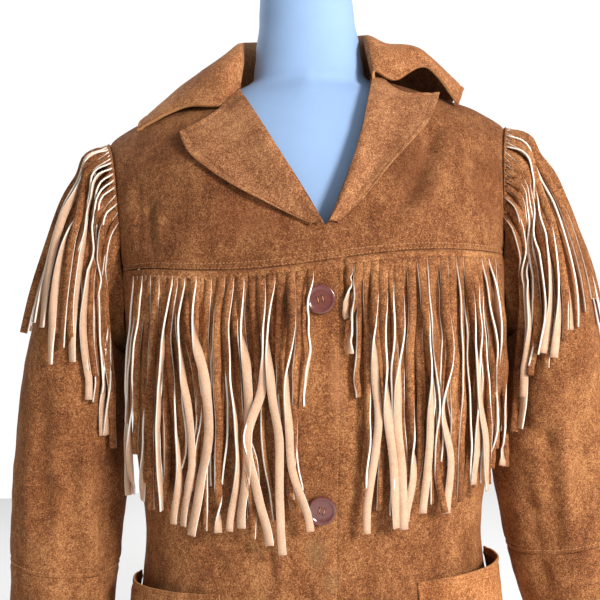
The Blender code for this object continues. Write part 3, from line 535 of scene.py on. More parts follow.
def normals_of(points, closed):
    """Unit normals of a grid of points, along step x row."""
    across = np.gradient(points, axis=1)
    if closed:
        across[:, 0] = across[:, -1] = (points[:, 1] - points[:, -2]) / 2
    up = np.gradient(points, axis=0)
    normal = np.cross(across, up)
    return normal / np.maximum(np.linalg.norm(normal, axis=2, keepdims=True), 1e-12)


def lines(place, low, high, count, near_low=(), near_high=()):
    """Grid values along a line, even by length with extra ones near its ends, and their distances."""
    dense = np.linspace(low, high, 121)
    points = np.array([place(v) for v in dense])
    gone = np.concatenate([[0], np.cumsum(np.linalg.norm(np.diff(points, axis=0), axis=1))])
    length = gone[-1]
    first, last = max(near_low, default=0.0), length - max(near_high, default=0.0)
    extra = (length - d for d in near_high)
    wanted = sorted({0.0, length, *near_low, *extra, *np.linspace(first, last, count)})
    wanted = [w for i, w in enumerate(wanted) if i == 0 or w - wanted[i - 1] > 2e-4]
    wanted[-1] = length
    return np.interp(wanted, gone, dense), np.array(wanted)


ALL_SIDES = ("s0", "s1", "r0", "r1")
EDGE_LINES = (0.0012, 0.0028, 0.0048, STITCH_INSET, 0.0076, 0.0100)


def mapped_grid(bm, points, closed=False, flip=False):
    """A grid of quads placed at an array of points."""
    rows, steps = points.shape[0] - 1, points.shape[1] - 1
    made = bmesh.ops.create_grid(bm, x_segments=steps, y_segments=rows, size=0.5)["verts"]
    for vertex in made:
        step = round((vertex.co.x + 0.5) * steps)
        row = round((vertex.co.y + 0.5) * rows)
        if closed and step == steps:
            step = 0
        vertex.co = Vector(points[row, step])
    faces = list({face for vertex in made for face in vertex.link_faces})
    if flip:
        bmesh.ops.reverse_faces(bm, faces=faces)
    if closed:
        bmesh.ops.remove_doubles(bm, verts=made, dist=1e-6)
    return faces


def link(bm, name, materials):
    """Makes a smooth-shaded object from a bmesh, at the origin."""
    mesh = bpy.data.meshes.new(name)
    bm.to_mesh(mesh)
    bm.free()
    mesh.shade_smooth()
    for material in materials:
        mesh.materials.append(material)
    obj = bpy.data.objects.new(name, mesh)
    bpy.context.scene.collection.objects.link(obj)
    return obj


def give_wall(obj, thickness, offset=-1.0, bevel=0.0005):
    """The wall of a cut piece: face outside, darker reverse inside, cut edge on the rim."""
    wall = obj.modifiers.new("Wall", "SOLIDIFY")
    wall.thickness = thickness
    wall.offset = offset
    wall.use_even_offset = False
    wall.material_offset = 1
    wall.material_offset_rim = 2
    if bevel:
        soften = obj.modifiers.new("Soft edge", "BEVEL")
        soften.width = bevel
        soften.segments = 2
        soften.limit_method = "ANGLE"
        soften.angle_limit = math.radians(50)
        soften.harden_normals = False


def dip(distance, at, width, depth):
    """A soft groove along an edge, as a seam or a row of stitches pulls the nap in."""
    return -depth * np.exp(-(((distance - at) / width) ** 2))


PIECES = {}  # grids of the finished faces, which the stitch rows are laid on


def cloth(name, place, spans, counts, near, flip, stitched=(), seams=(), closed=False, relief=1.0,
          extra=None):
    """The displaced face of one cut piece. near, stitched and seams name its sides: s0, s1, r0, r1."""
    (s_low, s_high), (r_low, r_high) = spans
    mid_s, mid_r = (s_low + s_high) / 2, (r_low + r_high) / 2

    def along_step(value):
        return place(value, mid_r)

    def along_row(value):
        return place(mid_s, value)

    def wanted(key):
        return EDGE_LINES if key in near else ()

    s_values, s_gone = lines(along_step, s_low, s_high, counts[0], wanted("s0"), wanted("s1"))
    r_values, r_gone = lines(along_row, r_low, r_high, counts[1], wanted("r0"), wanted("r1"))
    points = np.array([[place(s, r) for s in s_values] for r in r_values])
    gone = {
        "s0": np.tile(s_gone, (len(r_gone), 1)),
        "s1": np.tile(s_gone[-1] - s_gone, (len(r_gone), 1)),
        "r0": np.tile(r_gone[:, None], (1, len(s_gone))),
        "r1": np.tile((r_gone[-1] - r_gone)[:, None], (1, len(s_gone))),
    }
    normal = normals_of(points, closed) * (-1 if flip else 1)
    flat = points.reshape(-1, 3)
    height = (crease_relief(flat) + soft_relief(flat)).reshape(points.shape[:2]) * relief
    border = np.ones(points.shape[:2])
    for key in seams:  # the relief dies away at a seam, so that neighbouring pieces still meet
        border *= np.clip(gone[key] / SEAM_QUIET, 0.0, 1.0) * (1 - SEAM_KEEP) + SEAM_KEEP
    height *= border
    for key in seams:
        height += dip(gone[key], *SEAM_DIP)
    for key in stitched:
        height += dip(gone[key], *STITCH_DIP)
    if extra is not None:
        height += extra(points, gone)
    points = points + normal * height[..., None]
    PIECES[name] = (points, normal, s_gone, r_gone)
    bm = bmesh.new()
    mapped_grid(bm, points, closed, flip)
    return bm


def finish_cloth(bm, node, materials, thickness, offset=-1.0):
    """Gives a face its wall and puts it on the frame, hiding the CAD part that it replaces."""
    obj = link(bm, f"{node}_suede", materials)
    give_wall(obj, thickness, offset)
    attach(obj, "root")
    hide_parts(node)
    return obj


ON_SHEETS = {}  # the fringe and stitch objects that go with each cut piece, by its name


# ================================================================ materials
def add(tree, kind, at=(0, 0), links=None, **values):
    """Adds a node, sets its attributes or unlinked inputs, and links the rest."""
    node = tree.nodes.new(kind)
    node.location = at
    for key, value in values.items():
        if hasattr(node, key) and key not in node.inputs:
            setattr(node, key, value)
        else:
            node.inputs[key].default_value = value
    for key, socket in (links or {}).items():
        tree.links.new(socket, node.inputs[key])
    return node


def blank(name):
    material = bpy.data.materials.new(name)
    material.use_nodes = True
    tree = material.node_tree
    tree.nodes.clear()
    out = add(tree, "ShaderNodeOutputMaterial", (900, 0))
    shader = add(tree, "ShaderNodeBsdfPrincipled", (600, 0))
    tree.links.new(shader.outputs[0], out.inputs[0])
    shader.inputs["Metallic"].default_value = 0.0
    return material, tree, shader


def grain(tree, coord, size, detail, at, stretch=(1, 1, 1), shift=(0, 0, 0)):
    """Noise whose features are about size metres across."""
    place = add(tree, "ShaderNodeMapping", (at[0] - 200, at[1]), {"Vector": coord}, Scale=stretch,
                Location=shift)
    return add(tree, "ShaderNodeTexNoise", at, {"Vector": place.outputs[0]},
               Scale=1 / size, Detail=detail, Roughness=0.6, Distortion=0.25).outputs[0]


FIBRE, TUFT, STROKE = 0.56, 0.17, 0.24  # how much each size of fibre pattern adds to the nap
NAP_SPREAD = 0.118  # half the range of the pattern from the darkest to the lightest nap


def suede(name, dark, mid, light, nap=1.0, worn=None):
    """Brushed suede: fine light and dark fibres, palm-sized nap strokes and a soft sheen at turned edges."""
    material, tree, shader = blank(name)
    coord = add(tree, "ShaderNodeTexCoord", (-1100, 0)).outputs["Object"]
    fibre = grain(tree, coord, 0.0013, 3, (-700, 300))
    tuft = grain(tree, coord, 0.0052, 2, (-700, 100), (1, 1, 0.8), (3, 1, 2))
    stroke = grain(tree, coord, 0.040, 2, (-700, -100), (1, 1, 0.6), (5, 8, 1))
    total = add(tree, "ShaderNodeMath", (-450, 250), {0: fibre}, operation="MULTIPLY")
    total.inputs[1].default_value = FIBRE * nap
    second = add(tree, "ShaderNodeMath", (-300, 200), {0: tuft, 2: total.outputs[0]},
                 operation="MULTIPLY_ADD")
    second.inputs[1].default_value = TUFT
    third = add(tree, "ShaderNodeMath", (-150, 150), {0: stroke, 2: second.outputs[0]},
                operation="MULTIPLY_ADD")
    third.inputs[1].default_value = STROKE
    level = (FIBRE * nap + TUFT + STROKE) / 2
    ramp = add(tree, "ShaderNodeValToRGB", (50, 150), {0: third.outputs[0]})
    stops = ramp.color_ramp.elements
    stops[0].position, stops[0].color = level - NAP_SPREAD, (*dark, 1)
    stops[1].position, stops[1].color = level + NAP_SPREAD, (*light, 1)
    middle = stops.new(level)
    middle.color = (*mid, 1)
    colour = ramp.outputs[0]
    # patches of another tone over the nap: real wear at the front's edge, painted shade on the yokes
    if worn:
        for centre, reach, tone, amount in worn:
            offset = add(tree, "ShaderNodeVectorMath", (-450, -300), {0: coord}, operation="SUBTRACT")
            offset.inputs[1].default_value = centre
            scaled = add(tree, "ShaderNodeVectorMath", (-300, -300), {0: offset.outputs[0]},
                         operation="DIVIDE")
            scaled.inputs[1].default_value = reach
            far = add(tree, "ShaderNodeVectorMath", (-150, -300), {0: scaled.outputs[0]}, operation="LENGTH")
            mask = add(tree, "ShaderNodeMapRange", (0, -300), {"Value": far.outputs["Value"]},
                       interpolation_type="SMOOTHSTEP")
            mask.inputs["From Min"].default_value = 1.0
            mask.inputs["From Max"].default_value = 0.2
            mask.inputs["To Max"].default_value = amount
            patch = add(tree, "ShaderNodeMix", (200, -100), data_type="RGBA", blend_type="MIX")
            tree.links.new(mask.outputs[0], patch.inputs[0])
            tree.links.new(colour, patch.inputs[6])
            patch.inputs[7].default_value = (*tone, 1)
            colour = patch.outputs[2]
    tree.links.new(colour, shader.inputs["Base Color"])
    shader.inputs["Roughness"].default_value = 0.95
    shader.inputs["Specular IOR Level"].default_value = 0.15
    shader.inputs["Sheen Weight"].default_value = 0.16
    shader.inputs["Sheen Roughness"].default_value = 0.6
    shader.inputs["Sheen Tint"].default_value = (*light, 1)
    bump = add(tree, "ShaderNodeBump", (350, -250), {"Height": second.outputs[0]}, Strength=0.45,
               Distance=0.0011)
    tree.links.new(bump.outputs[0], shader.inputs["Normal"])
    return material


def thread_material(colour):
    """Twisted polyester thread: a finer, slightly brighter line than the nap that it sinks into."""
    material, tree, shader = blank("sewing_thread_twisted")
    coord = add(tree, "ShaderNodeTexCoord", (-800, 0)).outputs["Object"]
    twist = grain(tree, coord, 0.0008, 1, (-500, 0))
    mix = add(tree, "ShaderNodeMix", (100, 0), data_type="RGBA")
    tree.links.new(twist, mix.inputs[0])
    mix.inputs[6].default_value = (*tone(colour, (0.6,) * 3), 1)
    mix.inputs[7].default_value = (*tone(colour, (1.35,) * 3), 1)
    tree.links.new(mix.outputs[2], shader.inputs["Base Color"])
    shader.inputs["Roughness"].default_value = 0.6
    return material


def horn_material(colour):
    """Moulded, polished resin: red-brown swirls under a clear, slightly worn gloss."""
    material, tree, shader = blank("button_resin_polished")
    coord = add(tree, "ShaderNodeTexCoord", (-900, 0)).outputs["Object"]
    swirl = grain(tree, coord, 0.006, 3, (-500, 0), (1, 1, 2.4))
    mix = add(tree, "ShaderNodeMix", (100, 0), data_type="RGBA")
    tree.links.new(swirl, mix.inputs[0])
    mix.inputs[6].default_value = (*tone(colour, (0.5,) * 3), 1)
    mix.inputs[7].default_value = (*tone(colour, (1.7,) * 3), 1)
    tree.links.new(mix.outputs[2], shader.inputs["Base Color"])
    shader.inputs["Roughness"].default_value = 0.22
    shader.inputs["Coat Weight"].default_value = 0.7
    shader.inputs["Coat Roughness"].default_value = 0.12
    return material


def jersey_material(colour):
    """Stretched knit cover: flat pale blue with a very fine mottled knit."""
    material, tree, shader = blank("form_jersey_stretched")
    coord = add(tree, "ShaderNodeTexCoord", (-900, 0)).outputs["Object"]
    knit = grain(tree, coord, 0.0016, 2, (-500, 100), (1, 1, 1.6))
    wide = grain(tree, coord, 0.02, 2, (-500, -100))
    both = add(tree, "ShaderNodeMath", (-200, 0), {0: knit, 1: wide}, operation="ADD")
    half = add(tree, "ShaderNodeMath", (-60, 0), {0: both.outputs[0]}, operation="MULTIPLY")
    half.inputs[1].default_value = 0.5
    mix = add(tree, "ShaderNodeMix", (100, 0), data_type="RGBA")
    tree.links.new(half.outputs[0], mix.inputs[0])
    mix.inputs[6].default_value = (*tone(colour, (0.90,) * 3), 1)
    mix.inputs[7].default_value = (*tone(colour, (1.09,) * 3), 1)
    tree.links.new(mix.outputs[2], shader.inputs["Base Color"])
    shader.inputs["Roughness"].default_value = 0.85
    bump = add(tree, "ShaderNodeBump", (350, -250), {"Height": knit}, Strength=0.15, Distance=0.0004)
    tree.links.new(bump.outputs[0], shader.inputs["Normal"])
    return material


def plain_material(name, colour, roughness=0.9):
    """Even matt studio paper."""
    material, tree, shader = blank(name)
    shader.inputs["Base Color"].default_value = (*colour, 1)
    shader.inputs["Roughness"].default_value = roughness
    return material


def tone(colour, by):
    """A linear colour with each channel scaled, and kept within what a surface can reflect."""
    return tuple(min(1.0, c * k) for c, k in zip(colour, by))


def palette():
    """The materials, made once from the settings."""
    if PALETTE:
        return PALETTE
    s = bpy.context.scene.suede_jacket
    dark, mid, light = tuple(s.suede_dark), tuple(s.suede_mid), tuple(s.suede_light)
    pale, edge = tuple(s.reverse_pale), tuple(s.cut_edge)

    # patches on the suede: centre, reach, tone, how much of the tone shows
    worn = [  # rubbed and lightly stained at the front's edge, between the buttons
        ((-0.010, -0.128, 0.290), (0.016, 0.05, 0.022), srgb("#8A7552"), 0.26),
        ((0.004, -0.128, 0.262), (0.012, 0.05, 0.016), srgb("#8A7552"), 0.22),
        ((0.016, -0.13, 0.452), (0.010, 0.05, 0.05), srgb("#C48A5E"), 0.25),
    ]
    painted_shade_patches = [  # painted shade: darker patches beside the lapels and in the hollow of the shoulder, where shadow falls
        ((0.100, -0.110, 0.650), (0.036, 0.08, 0.066), srgb("#5F351D"), 0.55),
        ((0.176, -0.080, 0.640), (0.022, 0.08, 0.060), srgb("#6B3C20"), 0.45),
        ((-0.130, -0.090, 0.690), (0.040, 0.08, 0.030), srgb("#5F351D"), 0.35),
        ((-0.060, -0.120, 0.610), (0.060, 0.08, 0.030), srgb("#6A351E"), 0.30),
    ]
    PALETTE.update(
        face=suede("suede_brushed_nap", dark, mid, light, worn=worn),
        # the yokes: a darker copy of the suede, with patches of painted shade
        yoke=suede("suede_yoke_nap_painted_shade", tone(dark, (0.82, 0.80, 0.82)), tone(mid, (0.82, 0.80, 0.82)),
                   tone(light, (0.84, 0.82, 0.84)), worn=painted_shade_patches),
        # a lighter copy of the suede for the left pocket: painted light, where its gaping front catches the
        # key light
        pocket=suede("suede_pocket_painted_light", tone(dark, (1.5, 1.45, 1.4)), tone(mid, (1.5, 1.5, 1.45)),
                     tone(light, (1.35, 1.35, 1.3))),
        lapel=suede("suede_lapel_facing_nap", tone(dark, (1.3, 1.4, 1.6)), tone(mid, (1.26, 1.38, 1.62)),
                    tone(light, (1.16, 1.22, 1.4))),
        collar=suede("suede_collar_facing_nap", tone(dark, (1.5, 1.6, 1.7)), tone(mid, (1.45, 1.55, 1.7)),
                     tone(light, (1.3, 1.35, 1.5))),
        # the reverse seen inside the pieces: a darker, cooler copy of the suede, painted shade
        shade=suede("suede_reverse_painted_shade", tone(dark, (0.9, 0.9, 1.0)), tone(mid, (0.9, 0.9, 1.0)),
                    tone(light, (0.9, 0.9, 1.0)), 0.7),
        rim=suede("suede_turned_edge", mid, tone(light, (0.95, 0.95, 0.95)),
                  tone(light, (1.2, 1.25, 1.3)), 0.6),
        strand=suede("fringe_strand_face", tone(dark, (1.0, 1.0, 1.0)), tone(mid, (1.05, 1.05, 1.08)),
                     tone(light, (1.1, 1.12, 1.15))),
        pale=suede("fringe_strand_flesh_side", tone(pale, (0.78, 0.72, 0.64)), pale,
                   tone(pale, (1.12, 1.16, 1.22)), 0.8),
        cut=suede("fringe_cut_edge_raw", tone(edge, (0.8, 0.78, 0.74)), edge,
                  tone(edge, (1.1, 1.1, 1.1)), 0.5),
        thread=thread_material(tuple(s.thread_colour)),
        horn=horn_material(tuple(s.button_colour)),
        jersey=jersey_material(tuple(s.form_colour)),
    )
    return PALETTE


PALETTE = {}


# ================================================================ strands and stitches
def turned(vector, axis, angle):
    """An array of vectors turned about an array of unit axes."""
    cos, sin = np.cos(angle)[:, None], np.sin(angle)[:, None]
    dot = (vector * axis).sum(axis=1)[:, None]
    return vector * cos + np.cross(axis, vector) * sin + axis * dot * (1 - cos)


def strand(bm, path, normal, turn, width, thick, cup=0.0, kinds=(0, 0, 2, 1, 1, 2)):
    """One cut strip as a closed ribbon: face, flesh side and two cut edges have their own material."""
    ahead = np.gradient(path, axis=0)
    ahead /= np.linalg.norm(ahead, axis=1, keepdims=True)
    normal = normal - ahead * (normal * ahead).sum(axis=1)[:, None]
    normal /= np.linalg.norm(normal, axis=1, keepdims=True)
    across = turned(np.cross(ahead, normal), ahead, turn)
    out = turned(normal, ahead, turn)
    half = (np.asarray(width) / 2 * np.ones(len(path)))[:, None]
    deep = thick / 2
    curl = (np.asarray(cup) * np.ones(len(path)))[:, None]
    around = [
        path - across * half + out * deep,
        path + out * (deep + curl),
        path + across * half + out * deep,
        path + across * half - out * deep,
        path + out * (curl - deep),
        path - across * half - out * deep,
    ]
    points = np.stack([*around, around[0]], axis=1)
    rows = len(path) - 1
    made = bmesh.ops.create_grid(bm, x_segments=6, y_segments=rows, size=0.5)["verts"]
    faces = {face for vertex in made for face in vertex.link_faces}
    for face in faces:
        face.material_index = kinds[min(5, int((face.calc_center_median().x + 0.5) * 6))]
    for vertex in made:
        step = round((vertex.co.x + 0.5) * 6) % 6
        vertex.co = Vector(points[round((vertex.co.y + 0.5) * rows), step])


def close_strands(bm):
    """Joins the wrapped sides, closes the ends and turns every face outwards."""
    bmesh.ops.remove_doubles(bm, verts=bm.verts, dist=1e-7)
    filled = bmesh.ops.holes_fill(bm, edges=[e for e in bm.edges if e.is_boundary], sides=6)["faces"]
    for face in filled:
        face.material_index = 2
    bmesh.ops.recalc_face_normals(bm, faces=bm.faces)


def between_values(values, t):
    """Smooth values between stations that are evenly spaced from 0 to 1, the first of them 0."""
    rows = [np.float64(v) for v in (0.0, *values)]
    return np.array([spline(rows, u * (len(rows) - 1)) for u in t])


def stitch_row(bm, points, normals, pitch, length, radius, start=0.0):
    """Thread stitches laid along a line of points, sunk to half their thickness."""
    gone = np.concatenate([[0], np.cumsum(np.linalg.norm(np.diff(points, axis=0), axis=1))])
    for at in np.arange(start + pitch / 2, gone[-1] - pitch / 2, pitch):
        here = np.array([np.interp(at, gone, points[:, k]) for k in range(3)])
        near = np.array([np.interp(at + length / 2, gone, points[:, k]) for k in range(3)])
        up = np.array([np.interp(at, gone, normals[:, k]) for k in range(3)])
        ahead = Vector(near - here).normalized()
        up = Vector(up).normalized()
        side = ahead.cross(up).normalized()
        up = side.cross(ahead)
        frame_3 = Matrix((ahead * length / 2, side * radius, up * radius)).transposed().to_4x4()
        place = Matrix.Translation(Vector(here) + up * radius * 0.35) @ frame_3
        bmesh.ops.create_icosphere(bm, subdivisions=1, radius=1.0, matrix=place)


def piece_line(name, side, inset, from_share=0.0, to_share=1.0):
    """The line on a finished piece that keeps a distance from one of its sides."""
    points, normal, s_gone, r_gone = PIECES[name]
    if side in ("r0", "r1"):
        at = inset if side == "r0" else r_gone[-1] - inset
        index = np.interp(at, r_gone, np.arange(len(r_gone)))
        low = min(int(index), len(r_gone) - 2)
        mix = index - low
        line, up = (a[low] * (1 - mix) + a[low + 1] * mix for a in (points, normal))
    else:
        at = inset if side == "s0" else s_gone[-1] - inset
        index = np.interp(at, s_gone, np.arange(len(s_gone)))
        low = min(int(index), len(s_gone) - 2)
        mix = index - low
        line, up = (a[:, low] * (1 - mix) + a[:, low + 1] * mix for a in (points, normal))
    first, last = int(from_share * (len(line) - 1)), int(to_share * (len(line) - 1)) + 1
    return line[first:last], up[first:last]


# ================================================================ settings
def length_setting(name, description, default):
    """A length that a user can change."""
    return bpy.props.FloatProperty(name=name, description=description, default=default, unit="LENGTH")


def colour_setting(name, description, code):
    """A colour that a user can change."""
    return bpy.props.FloatVectorProperty(
        name=name, description=description, subtype="COLOR", default=srgb(code))


class SuedeJacketSettings(bpy.types.PropertyGroup):
    """Sizes and colours that a user would change."""
    wall: length_setting("Suede thickness", "Thickness of one layer of suede", 0.0016)
    turned_wall: length_setting("Turned edge thickness", "Thickness of the stitched, faced pieces", 0.0026)
    strand_thick: length_setting("Strand thickness", "Thickness of a fringe strand", 0.0017)
    strip_height: length_setting("Uncut strip", "Height of the uncut strip above the fringe's slits", 0.0105)
    stitch_pitch: length_setting("Stitch pitch", "Distance from one stitch to the next", 0.0036)
    stitch_length: length_setting("Stitch length", "Length of the thread that shows", 0.0026)
    stitch_radius: length_setting("Thread radius", "Radius of the sewing thread", 0.00055)
    suede_dark: colour_setting("Suede, dark", "Brushed-down nap", "#4E2A17")
    suede_mid: colour_setting("Suede", "Body colour of the suede", "#83502E")
    suede_light: colour_setting("Suede, light", "Raised nap", "#B98354")
    reverse_pale: colour_setting("Flesh side", "Pale reverse of a strand", "#D0A88A")
    cut_edge: colour_setting("Cut edge", "Raw cut edge of a strand", "#F1E6D6")
    thread_colour: colour_setting("Thread", "Topstitching", "#B57F50")
    button_colour: colour_setting("Button", "Moulded button", "#602C24")
    form_colour: colour_setting("Form cover", "Knit cover of the dress form", "#90ADD3")
    floor_colour: colour_setting("Floor", "Studio floor", "#FCFCFC")
    key_power: bpy.props.FloatProperty(
        name="Key light", description="Power of the soft key light", default=50.0, unit="POWER")


class JacketOperator(bpy.types.Operator):
    """Runs one step of the making with the scene's settings and materials."""
    bl_options = {"REGISTER", "UNDO"}

    def execute(self, context):
        self.make(context.scene.suede_jacket, palette())
        return {"FINISHED"}


class JACKET_OT_form(JacketOperator):
    """Builds the smooth dress form under its jersey cover."""
    bl_idname = "jacket.form"
    bl_label = "Dress form"

    def make(self, s, mats):
        steps = 120
        levels = [0.0, 0.003, 0.012, 0.03, *np.linspace(0.06, 0.68, 44), *np.linspace(0.69, 0.79, 40),
                  *np.linspace(0.795, 0.894, 18), 0.8975, 0.8992, 0.90]
        points = np.array([form_ring(z, steps) for z in levels])
        points = np.concatenate([points, points[:, :1]], axis=1)
        bm = bmesh.new()
        mapped_grid(bm, points, closed=True)
        bmesh.ops.holes_fill(bm, edges=[e for e in bm.edges if e.is_boundary], sides=0)
        bmesh.ops.recalc_face_normals(bm, faces=bm.faces)
        obj = link(bm, "dress_form_jersey", [mats["jersey"]])
        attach(obj, "root")
        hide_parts("dress_form")


class JACKET_OT_body(JacketOperator):
    """Builds the fronts, the front yokes, the back and the back yoke."""
    bl_idname = "jacket.body"
    bl_label = "Fronts, back and yokes"

    def make(self, s, mats):
        skins = [mats["face"], mats["shade"], mats["rim"]]
        yokes = [mats["yoke"], mats["shade"], mats["rim"]]
        last = LOW_ROWS + ARM_ROWS
        for side, word, area, yoke_area in ((-1, "right", 0.142, 0.041), (1, "left", 0.144, 0.037)):
            def low(step, row, side=side):
                return low_front(side, step, row)

            def yoke(step, row, side=side):
                return yoke_front(side, step, row)

            node = f"front_{word}"
            edge = ("s0", "r0") if side < 0 else ("r0",)
            bm = cloth(node, low, ((0, FRONT_STEPS), (0, last)), (70, 110), ALL_SIDES, side < 0,
                       stitched=edge, seams=("s1", "r1"))
            finish_cloth(bm, node, skins, s.wall)
            node = f"yoke_front_{word}"
            bm = cloth(node, yoke, ((0, FRONT_STEPS), (0, YOKE_ROWS)), (64, 60), ALL_SIDES, side < 0,
                       stitched=("r0",), seams=("s1", "r0", "r1"))
            finish_cloth(bm, node, yokes, s.wall)
        bm = cloth("back", low_back, ((0, BACK_STEPS), (0, last)), (96, 100), ALL_SIDES, False,
                   stitched=("r0",), seams=("s0", "s1", "r1"))
        finish_cloth(bm, "back", skins, s.wall)
        bm = cloth("yoke_back", yoke_back, ((0, BACK_STEPS), (0, YOKE_ROWS)), (90, 60), ALL_SIDES, False,
                   stitched=("r0",), seams=ALL_SIDES)
        finish_cloth(bm, "yoke_back", yokes, s.wall)


LAPEL_SEAT = 0.0006  # between a lapel's reverse and the yoke, at the roll
EDGE_LIFT = {-1: 0.0034, 1: 0.0052}  # how far each side's turned edge stands off
POINT_LIFT = 0.0026  # and its point


class JACKET_OT_lapels(JacketOperator):
    """Builds the two lapels with their turned, stitched edges."""
    bl_idname = "jacket.lapels"
    bl_label = "Lapels"

    def make(self, s, mats):
        skins = [mats["lapel"], mats["shade"], mats["rim"]]
        for side, word, table, gorge, flat, area in (
            (-1, "right", LAPEL_RIGHT, 0.002, (0.085, 0.16), 0.0088),
            (1, "left", LAPEL_LEFT, 0.011, (0.078, 0.15), 0.0075),
        ):
            def place(u, v, side=side, table=table, gorge=gorge):
                roll_x, roll_z, edge_x, edge_z = spline(table, v * (len(table) - 1))
                x = roll_x + (edge_x - roll_x) * u
                z_dip = NOTCH_DIP * math.sin(math.pi * u) * smooth((v - 0.7) / 0.3)
                z = roll_z + (edge_z - roll_z) * u - z_dip
                lift = LAPEL_SEAT + LAPEL_ROLL * (1 - u) ** 2 * smooth((u + 0.12) / 0.3)
                lift += EDGE_LIFT[side] * smooth((u - 0.55) / 0.45) * smooth((v - 0.08) / 0.25)
                lift += POINT_LIFT * smooth((v - 0.78) / 0.22) * smooth((u - 0.25) / 0.4)
                z += gorge * (1 - smooth(u / 0.42)) * smooth((v - 0.70) / 0.30)
                return off_front(x, z, lap(x, z, side) + SEAM + lift + s.turned_wall + 0.0004)

            node = f"lapel_{word}"
            bm = cloth(node, place, ((0, 1), (0, 1)), (44, 70), ("s1", "r1"), side < 0, stitched=("s1", "r1"),
                       relief=0.55, extra=puckered)
            finish_cloth(bm, node, skins, s.turned_wall)


def puckered(points, gone):
    """Small puckers between the stitches and the edge."""
    edge = np.minimum(gone["s1"], gone["r1"])
    flat = points.reshape(-1, 3)
    wobble = np.array([noise.noise(Vector(p) / 0.011) for p in flat]).reshape(edge.shape)
    return 0.0006 * wobble * np.exp(-((edge / 0.009) ** 2))


class JACKET_OT_collar(JacketOperator):
    """Builds the collar, standing behind the neck and turned down all round."""
    bl_idname = "jacket.collar"
    bl_label = "Collar"

    def make(self, s, mats):
        skins = [mats["collar"], mats["yoke"], mats["rim"]]
        stations = []
        for row in COLLAR:
            base = (row[0], row[1], top_z(row[0], row[1]) + COLLAR_SEAT)
            stations.append(np.array([base, row[2:5], row[5:8], row[8:11], row[11:14]]))

        def place(step, row):
            across = spline(stations, step * (len(stations) - 1))
            return Vector(spline(list(across), row * (len(across) - 1)))

        bm = cloth("collar", place, ((0, 1), (0, 1)), (170, 50), ("s0", "s1", "r1"), False,
                   stitched=("s0", "s1", "r1"), relief=0.6)
        finish_cloth(bm, "collar", skins, s.turned_wall, offset=0.0)


class JACKET_OT_sleeves(JacketOperator):
    """Builds both sleeves, each pieced above the cuff."""
    bl_idname = "jacket.sleeves"
    bl_label = "Sleeves"

    def make(self, s, mats):
        skins = [mats["face"], mats["shade"], mats["rim"]]
        for side, word, area, low_area in ((-1, "right", 0.138, 0.045), (1, "left", 0.136, 0.047)):
            rings = sleeve_rings(side)
            count, last = len(rings[0]), len(rings) - 1

            def place(around, ring, rings=rings):
                return sleeve_at(rings, around, ring)

            node = f"sleeve_upper_{word}"
            bm = cloth(node, place, ((0, count), (0, PIECING - 0.002)), (92, 120), ("r0", "r1"), side > 0,
                       stitched=("r1",), seams=("r0", "r1"), closed=True)
            finish_cloth(bm, node, skins, s.wall)
            node = f"sleeve_lower_{word}"
            bm = cloth(node, place, ((0, count), (PIECING + 0.005, last)), (92, 44), ("r0", "r1"), side > 0,
                       stitched=("r1",), seams=("r0",), closed=True)
            finish_cloth(bm, node, skins, s.wall)


class JACKET_OT_pockets(JacketOperator):
    """Builds the two gaping patch pockets."""
    bl_idname = "jacket.pockets"
    bl_label = "Pockets"

    def make(self, s, mats):
        for side, word, sizes, gape, flat, area in (
            (-1, "right", POCKET_RIGHT, POCKET_GAPE[0], (0.175, 0.19), 0.032),
            (1, "left", POCKET_LEFT, POCKET_GAPE[1], (0.165, 0.195), 0.030),
        ):
            # the left pocket takes the lighter copy of the suede, painted light
            skins = [mats["face" if side < 0 else "pocket"], mats["shade"], mats["rim"]]
            height = (UNDERARM_Z - HEM_Z) / LOW_ROWS
            bottom, top_in, top_out = ((z - HEM_Z) / height for z in sizes[2:])

            def place(u, v, side=side, sizes=sizes, gape=gape, low=bottom, high=top_in,
                      rise=top_out - top_in):
                step = sizes[0] + (sizes[1] - sizes[0]) * u
                row = low + (high - low + rise * u * smooth((v - 0.8) / 0.2)) * v
                at = low_front(side, step, row)
                across = low_front(side, step + 0.05, row) - low_front(side, step - 0.05, row)
                up = low_front(side, step, row + 0.05) - low_front(side, step, row - 0.05)
                normal = across.cross(up).normalized() * side
                bulge = POCKET_BULGE * math.sin(math.pi * u) * smooth(v / 0.3)
                open_out = gape * smooth((v - 0.3) / 0.7) * math.sin(math.pi * u**1.5)
                return at + normal * (2 * SEAM + s.wall + 0.0008 + bulge + open_out)

            node = f"pocket_{word}"
            bm = cloth(node, place, ((0, 1), (0, 1)), (50, 50), ALL_SIDES, side < 0,
                       stitched=ALL_SIDES)
            finish_cloth(bm, node, skins, s.turned_wall * 0.8)


STRIP_REACH = {-1: (-0.187, 0.020), 1: (0.029, 0.190)}  # of the uncut strip along each yoke seam
STRAND_CUP = 0.0006  # how far a strand's face is hollowed or raised
BACK_WIDTHS = (0.0066, 0.0078)  # strands seen between those in front
BACK_SHORTER = (0.0, 0.045)  # how much higher they end
BACK_TURN = np.array((0.3, 0.6, 1.0, 1.0, 0.7))  # how their twist grows along them


